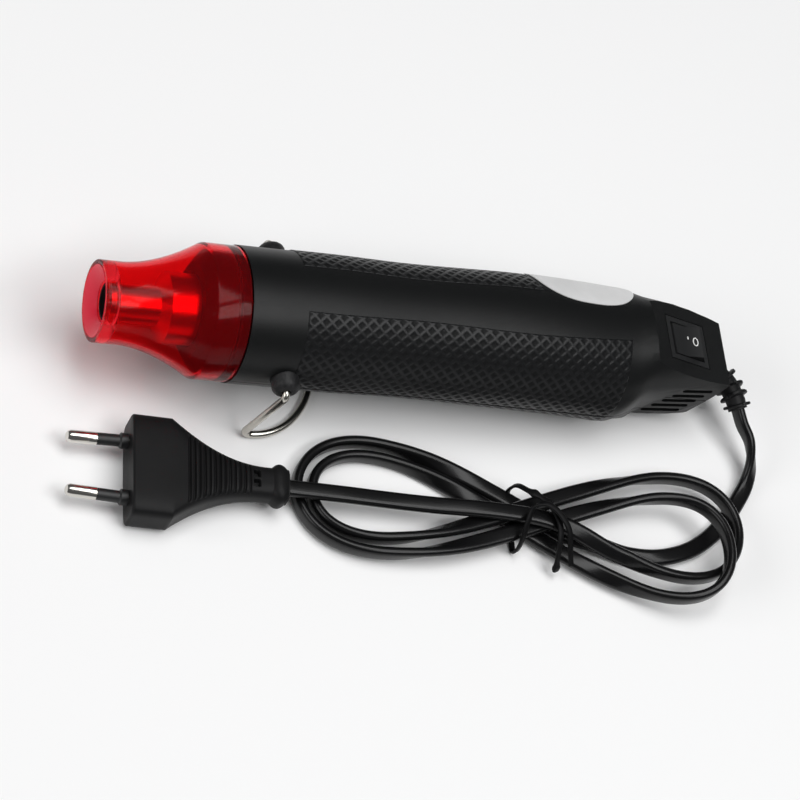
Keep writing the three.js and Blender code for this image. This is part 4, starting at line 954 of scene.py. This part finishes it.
@dataclass
class NozzleCover(SubAssembly):
    """Tinted cover turned about the tool's axis, in millimetres."""

    length: float = 43.2
    nose_radius: float = 12.6
    radius: float = 21.0
    taper_start: float = 7.2
    taper_end: float = 11.0
    taper_power: float = 1.8
    wall: float = 1.6
    dish_depth: float = 3.2
    rim_width: float = 1.1
    hole_radius: float = 6.3
    spigot_radius: float = 18.5
    spigot_length: float = 5.0
    gap: float = 0.3
    edge_radius: float = 0.45
    taper_steps: int = 22
    dish_skin: tuple[float, float] = (0.03, 0.33)
    dish_margin: tuple[float, float] = (0.4, 0.2)
    bore_radius: float = 5.25
    bore_skin: float = 0.25
    lip: tuple[float, float] = (-39.9, -39.74)
    lip_radius: float = 5.85
    bore_to: float = -23.5
    sides: int = 144

    def build(self) -> None:
        """Closed profile of outer skin, spigot, inner skin and dish, its corners rounded.

        The outer radius is nose + (radius - nose) t^power along the taper.
        """
        nose = -self.length
        x = np.linspace(nose + self.taper_start, -self.taper_end, self.taper_steps)
        t = np.linspace(0, 1, self.taper_steps)
        outer = np.column_stack([x, mix(self.nose_radius, self.radius, t**self.taper_power)])
        inner = (outer - [0, self.wall])[::-1]
        back, floor = -self.gap, nose + self.dish_depth
        spigot_bore = self.spigot_radius - self.wall
        corners = np.vstack([
            [(nose, self.nose_radius)], outer,
            [(back, self.radius), (back, self.spigot_radius), (self.spigot_length, self.spigot_radius),
             (self.spigot_length, spigot_bore), (back - self.wall, spigot_bore),
             (back - 2 * self.wall, self.radius - self.wall)],
            inner,
            [(floor + self.wall, self.nose_radius - self.wall), (floor + self.wall, self.hole_radius),
             (floor, self.hole_radius), (nose, self.nose_radius - self.rim_width)],
        ])
        profile = rounded_profile(corners, self.edge_radius, 4)
        cover = skin("tinted_nozzle_cover", PLACE.from_tool(lathe(profile, self.sides)), wrap=True, crease=45)
        self.settle(cover, Finishes.COVER, Body.TOOL, "tinted_cover", "nozzle_cover")
        self.dish(np.array([nose, self.nose_radius - self.rim_width]), np.array([floor, self.hole_radius]))
        self.bore()

    def dish(self, rim: Array, hole: Array) -> None:
        """Dull skin on the dish's cone, between its rim and the air hole.

        Args:
            rim: place along the axis and radius where the cone begins.
            hole: place along the axis and radius where it ends.
        """
        way = unit(hole - rim)
        out = np.array([way[1], -way[0]])
        start, end = rim + self.dish_margin[0] * way, hole - self.dish_margin[1] * way
        near, far = self.dish_skin
        corners = np.array([end + far * out, start + far * out, start + near * out, end + near * out])
        rings = lathe(rounded_profile(corners, 0.1, 3), self.sides)
        face = skin("nozzle_dish_face", PLACE.from_tool(rings), wrap=True, crease=45)
        self.settle(face, Finishes.DISH, Body.TOOL, "tinted_cover")

    def bore(self) -> None:
        """Dark lining of the air tube's narrow mouth, painted shade inside the bore, with a lip over the
        tube's end.
        """
        inner = self.bore_radius - self.bore_skin
        front, back = self.lip
        corners = np.array([(front, self.lip_radius), (back, self.lip_radius), (back, self.bore_radius),
                            (self.bore_to, self.bore_radius), (self.bore_to, inner), (front, inner)])
        profile = rounded_profile(corners, 0.05, 3)
        lining = skin("air_tube_bore", PLACE.from_tool(lathe(profile, 96)), wrap=True, crease=45)
        self.settle(lining, Finishes.BORE_SHADE, Body.TOOL, "steel")


@dataclass
class Barrel(SubAssembly):
    """Round barrel: its patterned grip panels and bare label, in millimetres and degrees."""

    collar_radius: float = 21.3
    grip_radius: float = 20.9
    rear_radius: float = 21.6
    collar_length: float = 30.0
    waist_at: float = 56.0
    rear_start: float = 100.0
    length: float = 131.0
    droop_start: float = 84.0
    rear_droop: float = 2.8
    shoulder_length: float = 8.5
    tail_half_width: float = 17.6
    tail_depth: float = 18.6
    tail_power: float = 2.2
    split_height: float = -5.2
    split_margin: float = 0.35
    grip_from: float = 17.8
    grip_to: float = 129.4
    upper_reach: float = 30.5
    lower_reach: float = 19.2
    diamond: float = 3.9
    steps_per_diamond: int = 12
    line_height: float = 0.17
    line_half_width: float = 0.66
    base_height: float = 0.03
    sunk: float = 0.45
    label_at: float = 116.6
    label_half_length: float = 18.3
    label_angle: float = 52.0
    label_half_angle: float = 39.0
    label_power: float = 2.5
    label_gap: float = 0.15
    label_thickness: float = 0.3
    label_rows: int = 72
    label_columns: int = 33
    clear_length: float = 1.5
    clear_angle: float = 4.0
    clear_pit_shade_mix: float = 0.6

    def radius(self, x: Array) -> Array:
        """Collar, waist and rear radius joined by half cosine waves."""
        front = mix(self.collar_radius, self.grip_radius,
                    ease((x - self.collar_length) / (self.waist_at - self.collar_length)))
        rear = mix(self.grip_radius, self.rear_radius,
                   ease((x - self.waist_at) / (self.rear_start - self.waist_at)))
        return np.where(x < self.waist_at, front, rear)

    def droop(self, x: Array) -> Array:
        """Fall of the axis behind the droop's start, as the square of the distance."""
        return self.rear_droop * np.maximum((x - self.droop_start) / (self.length - self.droop_start), 0) ** 2

    def around(self, x: Array, angle: Array, out: Array | float) -> Array:
        """Tool points at an angle from the top toward +Y, a distance out from the housing.

        Behind the barrel's end the circle goes over into |y/half|^p + |z/rise|^p = 1 with p up to 2.2.
        """
        reach, blend = np.minimum(x, self.length), np.clip((x - self.length) / self.shoulder_length, 0, 1)
        radius, droop = self.radius(reach), self.droop(reach)
        half = mix(radius, self.tail_half_width, blend**1.5)
        bottom = mix(-radius - droop, -self.tail_depth, blend)
        power = 2 / mix(2.0, self.tail_power, blend**2)
        middle, rise = (radius - droop + bottom) / 2, (radius - droop - bottom) / 2
        y = (half + out) * signed_power(np.sin(angle), power)
        return np.stack([x, y, middle + (rise + out) * signed_power(np.cos(angle), power)], axis=-1)

    def build(self) -> None:
        """Makes two grip panels on each side of the split, and the label."""
        for side, word in ((1, "left"), (-1, "right")):
            self.grip(f"grip_upper_{word}", side, -1, self.upper_reach)
            self.grip(f"grip_lower_{word}", side, 1, self.lower_reach)
        self.label()

    def grip(self, name: str, side: int, way: int, reach: float) -> None:
        """Sheet with a lattice of raised lines, its underside sunk in the wall.

        With u = x / diamond and v = distance from the split / diamond, the lines are where u + v or
        u - v is whole, and a line's height falls off with the fourth power of the distance to it.

        Args:
            name: name of the piece.
            side: 1 for +Y, -1 for -Y.
            way: -1 for the panel above the split, 1 for the one below.
            reach: height of the panel along the barrel.
        """
        step = self.diamond / self.steps_per_diamond
        x = self.grip_from + step * np.arange(int((self.grip_to - self.grip_from) / step) + 1)[:, None]
        s = step * np.arange(int(reach / step) + 1)[None, :]
        x, s = np.broadcast_arrays(x, s)
        split = np.arccos((self.split_height + self.droop(x)) / self.radius(x))
        angle = split + way * (s + self.split_margin) / self.radius(x)
        u, v = (x - self.grip_from) / self.diamond, s / self.diamond
        away = [np.abs(w - np.round(w)) * self.diamond / math.sqrt(2) for w in (u + v, u - v)]
        near = np.minimum(*away) / self.line_half_width
        height = self.line_height * np.maximum(1 - near**4, 0)
        # Mask for the grip's finish: 1 on the lines, 0 in the pits, which the finish paints darker as shade.
        raised = height / self.line_height
        if side > 0:
            along = (x - self.label_at) / (self.label_half_length + self.clear_length)
            about = (np.degrees(angle) - self.label_angle) / (self.label_half_angle + self.clear_angle)
            outside = np.abs(along) ** self.label_power + np.abs(about) ** self.label_power > 1
            # Round the label the mask is held at a middle level, so the bare band there gets part of the
            # painted pit shade.
            height, raised = height * outside, np.where(outside, raised, self.clear_pit_shade_mix)
        edge = np.ones(x.shape, bool)
        edge[1:-1, 1:-1] = False
        top = np.where(edge, 0.0, self.base_height + height)
        upper, lower = self.around(x, side * angle, top), self.around(x, side * angle, -self.sunk)
        sheet = self.sheet(name, upper, lower, top)
        raised = np.concatenate([raised.ravel(), np.zeros(raised.size)])
        lines = sheet.data.attributes.new(Finishes.GRIP.raised, "FLOAT", "POINT")
        lines.data.foreach_set("value", raised.astype(np.float32))
        self.settle(sheet, Finishes.GRIP, Body.TOOL, "housing")

    @staticmethod
    def sheet(name: str, upper: Array, lower: Array, height: Array) -> bpy.types.Object:
        """Closed sheet of two grids, each square split along its higher diagonal.

        Args:
            name: name of the piece.
            upper: tool points of the upper face.
            lower: tool points of the underside.
            height: height of each upper point, which chooses the diagonals.

        Returns:
            The new object.
        """
        rows, columns = height.shape
        index = np.arange(rows * columns).reshape(rows, columns)
        a, b, c, d = index[:-1, :-1], index[1:, :-1], index[1:, 1:], index[:-1, 1:]
        along = (height[:-1, :-1] + height[1:, 1:] >= height[1:, :-1] + height[:-1, 1:])[..., None]
        first = np.where(along, np.stack([a, b, c], -1), np.stack([a, b, d], -1)).reshape(-1, 3)
        second = np.where(along, np.stack([a, c, d], -1), np.stack([b, c, d], -1)).reshape(-1, 3)
        under = np.stack([a, d, c, b], -1).reshape(-1, 4) + rows * columns
        loop = np.concatenate([index[:-1, 0], index[-1, :-1], index[:0:-1, -1], index[0, :0:-1]])
        following = np.roll(loop, -1)
        rim = np.stack([loop, loop + rows * columns, following + rows * columns, following], 1)
        points = PLACE.from_tool(np.vstack([upper.reshape(-1, 3), lower.reshape(-1, 3)]))
        return put_mesh(name, points, [first, second, under, rim], 70)

    def label(self) -> None:
        """Thin leaf laid on the barrel and its shoulder, with the outline |t|^n + |angle share|^n = 1."""
        t = -np.cos(np.pi * (np.arange(self.label_rows) + 0.35) / (self.label_rows - 0.3))
        x = (self.label_at + self.label_half_length * t)[:, None]
        half = self.label_half_angle * (1 - np.abs(t) ** self.label_power) ** (1 / self.label_power)
        angle = np.radians(self.label_angle + half[:, None] * np.linspace(-1, 1, self.label_columns)[None])
        x = np.broadcast_to(x, angle.shape)
        lower = self.around(x, angle, self.label_gap)
        upper = self.around(x, angle, self.label_gap + self.label_thickness)
        grid = np.concatenate([lower, upper[:, ::-1]], axis=1)
        leaf = skin("bare_label", PLACE.from_tool(grid), crease=45)
        self.settle(leaf, Finishes.LABEL, Body.TOOL, "label", "label")


@dataclass
class WireStand(SubAssembly):
    """Bent wire bail: stubs in the bosses, two arms and a curved foot, in millimetres and degrees."""

    wire_radius: float = 1.2
    half_width: float = 27.4
    foot_half_width: float = 26.1
    lean: float = 11.1
    foot_reach: float = 25.2
    elbow_radius: float = 1.8
    heel_radius: float = 2.6
    stub_end: float = 21.1
    foot_steps: int = 90
    path_steps: int = 420
    facing: Triple = (0.6, 0.0, 0.8)
    sides: int = 20

    @staticmethod
    def corner(before: Array, at: Array, after: Array, radius: float, steps: int = 14) -> Array:
        """Corner between two straight runs as an arc about the centre on their bisector.

        Args:
            before: point on the run before the corner.
            at: the corner.
            after: point on the run after it.
            radius: radius of the arc.
            steps: points on the arc.

        Returns:
            Points of the arc.
        """
        inward, outward = unit(before - at), unit(after - at)
        half = math.acos(float(inward @ outward)) / 2
        bisector = unit(inward + outward)
        centre = at + bisector * radius / math.sin(half)
        start = at + inward * radius / math.tan(half) - centre
        square = unit(-inward) * radius
        turn = np.linspace(0, math.pi - 2 * half, steps)[:, None]
        return centre + start * np.cos(turn) + square * np.sin(turn)

    def build(self) -> None:
        """Round wire carried along the bail's line, both halves the same."""
        low = self.wire_radius - PLACE.hinge_height
        back = low * math.tan(math.radians(self.lean))
        stub = np.array([0, self.stub_end, 0.0])
        elbow = np.array([0, self.half_width, 0.0])
        heel = np.array([back, self.foot_half_width, low])
        beyond = heel + [8.0, 0, 0]
        half = np.vstack([stub, self.corner(stub, elbow, heel, self.elbow_radius),
                          self.corner(elbow, heel, beyond, self.heel_radius)])
        foot_from = half[-1, 0]
        turn = np.linspace(0, np.pi, self.foot_steps)[1:-1]
        reach = self.foot_reach + back - foot_from
        foot = np.column_stack([foot_from + reach * np.sin(turn), self.foot_half_width * np.cos(turn),
                                np.full(len(turn), low)])
        line = np.vstack([half, foot, half[::-1] * [1, -1, 1]])
        path = PLACE.from_hinge(resample(line, self.path_steps))
        section = ring_section(self.wire_radius * MM, self.sides)
        bail = skin("wire_bail", sweep(path, faced_frames(path, self.facing), section), crease=60)
        self.settle(bail, Finishes.WIRE, Body.STAND, "steel", "wire_stand")


@dataclass
class RockerMarks(SubAssembly):
    """White marks on the rocker, in millimetres and degrees."""

    switch_at: float = 154.2
    flat_slope: float = 18.5
    flat_rear_height: float = 4.8
    tail_end: float = 171.0
    pivot_depth: float = 2.6
    valley: float = 2.7
    tilt: float = 11.0
    ring_at: float = 3.3
    ring_half: tuple[float, float] = (0.8, 1.4)
    line_half_width: float = 0.18
    proud: float = 0.05
    dash_at: tuple[float, float] = (0.75, 1.3)
    dash_half: tuple[float, float] = (0.22, 0.5)
    ring_steps: int = 72

    def on_rocker(self, along: Array, across: Array, out: Array) -> Array:
        """Points on the rocker's two faces, which rise from the valley by the tilt to both sides.

        Args:
            along: distance from the valley, past zero on the raised half.
            across: distance across the rocker.
            out: distance out from the face.

        Returns:
            Points in metres.
        """
        slope = math.radians(self.tilt)
        sign = np.sign(along)
        x = along * math.cos(slope) - sign * out * math.sin(slope)
        z = self.valley + np.abs(along) * math.sin(slope) + out * math.cos(slope)
        to_pivot = (-self.tilt, (0.0, -self.pivot_depth))
        to_seat = (self.flat_slope, (self.switch_at, self.seat()))
        for angle, move in (to_pivot, to_seat):
            c, s = math.cos(math.radians(angle)), math.sin(math.radians(angle))
            x, z = x * c + z * s + move[0], z * c - x * s + move[1]
        return PLACE.from_tool(np.stack([x, across, z], axis=-1))

    def seat(self) -> float:
        """Height of the sloping flat at the switch."""
        slope = math.tan(math.radians(self.flat_slope))
        return self.flat_rear_height + (self.tail_end - self.switch_at) * slope

    def build(self) -> None:
        """Oval ring on the raised half, and a dash where that half begins."""
        turn = full_turn(self.ring_steps)[:, None]
        section = np.array([(-1, -1), (-1, 0.6), (-0.7, 1), (0.7, 1), (1, 0.6), (1, -1)], float)
        grow = section[:, 0] * self.line_half_width
        out = np.broadcast_to(section[:, 1] * self.proud, (self.ring_steps, len(section)))
        along = self.ring_at + (self.ring_half[0] + grow) * np.cos(turn)
        across = (self.ring_half[1] + grow) * np.sin(turn)
        ring = skin("rocker_ring_mark", self.on_rocker(along, across, out), wrap=True, crease=50)
        self.settle(ring, Finishes.MARK, Body.ROCKER, "label")
        corners = np.array([(-1, -1), (1, -1), (1, 1), (-1, 1)], float) * self.dash_half
        outline = rounded_profile(corners, 0.12, 6)
        levels = np.array([(1.0, -1.0), (1.0, 0.5), (0.9, 1.0)])
        size, rise = levels[:, :1], levels[:, 1:] * self.proud
        dash = self.on_rocker(self.dash_at[0] + size * outline[:, 0], self.dash_at[1] + size * outline[:, 1],
                              np.broadcast_to(rise, (len(levels), len(outline))))
        self.settle(skin("rocker_dash_mark", dash, crease=50), Finishes.MARK, Body.ROCKER, "label")


@dataclass
class SolidNodes(SubAssembly):
    """Solids that stay in view: their finishes, and round corners shaded smooth."""

    crease: float = 32.0

    TABLE = {
        Finishes.HOUSING: ("upper_shell", "lower_shell"),
        Finishes.BOSS: ("pivot_boss_left", "pivot_boss_right"),
        Finishes.SCREW: ("shell_screw_1", "shell_screw_2", "shell_screw_3", "shell_screw_4"),
        Finishes.TUBE: ("air_tube",),
        Finishes.BULKHEAD: ("front_bulkhead",),
        Finishes.MICA: ("mica_sleeve",),
        Finishes.CERAMIC: ("heater_former",),
        Finishes.COIL: ("heating_coil",),
        Finishes.CAN: ("motor_body", "motor_shaft", "thermal_cutout"),
        Finishes.FAN: ("fan_impeller", "motor_mount"),
        Finishes.BOARD: ("rectifier_board",),
        Finishes.DIODE: ("diode_1", "diode_2", "diode_3", "diode_4"),
        Finishes.SWITCH: ("switch_body", "switch_rocker", "plug_sleeve_left", "plug_sleeve_right"),
        Finishes.BRASS: ("switch_terminal_1", "switch_terminal_2"),
        Finishes.INSULATION: ("lead_wire_1", "lead_wire_2"),
        Finishes.NICKEL: ("plug_pin_left", "plug_pin_right"),
    }

    def smoother(self) -> bpy.types.NodeTree:
        """Geometry nodes that join the loose triangles and shade every shallow edge smooth."""
        tree = bpy.data.node_groups.new("smooth_shallow_edges", "GeometryNodeTree")
        for way in ("INPUT", "OUTPUT"):
            tree.interface.new_socket("Geometry", in_out=way, socket_type="NodeSocketGeometry")
        nodes, links = tree.nodes, tree.links
        entry, leave = nodes.new("NodeGroupInput"), nodes.new("NodeGroupOutput")
        merge = nodes.new("GeometryNodeMergeByDistance")
        merge.inputs["Distance"].default_value = 2e-6
        faces, edges = nodes.new("GeometryNodeSetShadeSmooth"), nodes.new("GeometryNodeSetShadeSmooth")
        faces.domain, edges.domain = "FACE", "EDGE"
        angle, shallow = nodes.new("GeometryNodeInputMeshEdgeAngle"), nodes.new("FunctionNodeCompare")
        shallow.operation = "LESS_THAN"
        shallow.inputs[1].default_value = math.radians(self.crease)
        links.new(angle.outputs["Unsigned Angle"], shallow.inputs[0])
        links.new(entry.outputs["Geometry"], merge.inputs["Geometry"])
        links.new(merge.outputs["Geometry"], faces.inputs["Geometry"])
        links.new(faces.outputs["Geometry"], edges.inputs["Geometry"])
        links.new(shallow.outputs["Result"], edges.inputs["Shade Smooth"])
        links.new(edges.outputs["Geometry"], leave.inputs["Geometry"])
        return tree

    def build(self, nodes: dict[str, bpy.types.Object]) -> None:
        """Dresses every solid that stays in view.

        Args:
            nodes: the solids by name.
        """
        tree = self.smoother()
        for finish, names in self.TABLE.items():
            for name in names:
                self.finishes.dress(nodes[name], finish)
                nodes[name].modifiers.new("smooth_shallow_edges", "NODES").node_group = tree
                LOG.info("%s: %s", name, finish.name)


def main() -> None:
    """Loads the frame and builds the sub-assemblies in order."""
    logging.basicConfig(level=logging.INFO, format="%(message)s")
    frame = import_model()
    Studio().build()
    finishes = Finishes()
    FlatCord(finishes).build(frame["nodes"])
    StrainRelief(finishes).build()
    NozzleCover(finishes).build()
    Barrel(finishes).build()
    WireStand(finishes).build()
    RockerMarks(finishes).build()
    SolidNodes(finishes).build(frame["nodes"])


if __name__ == "__main__":
    main()
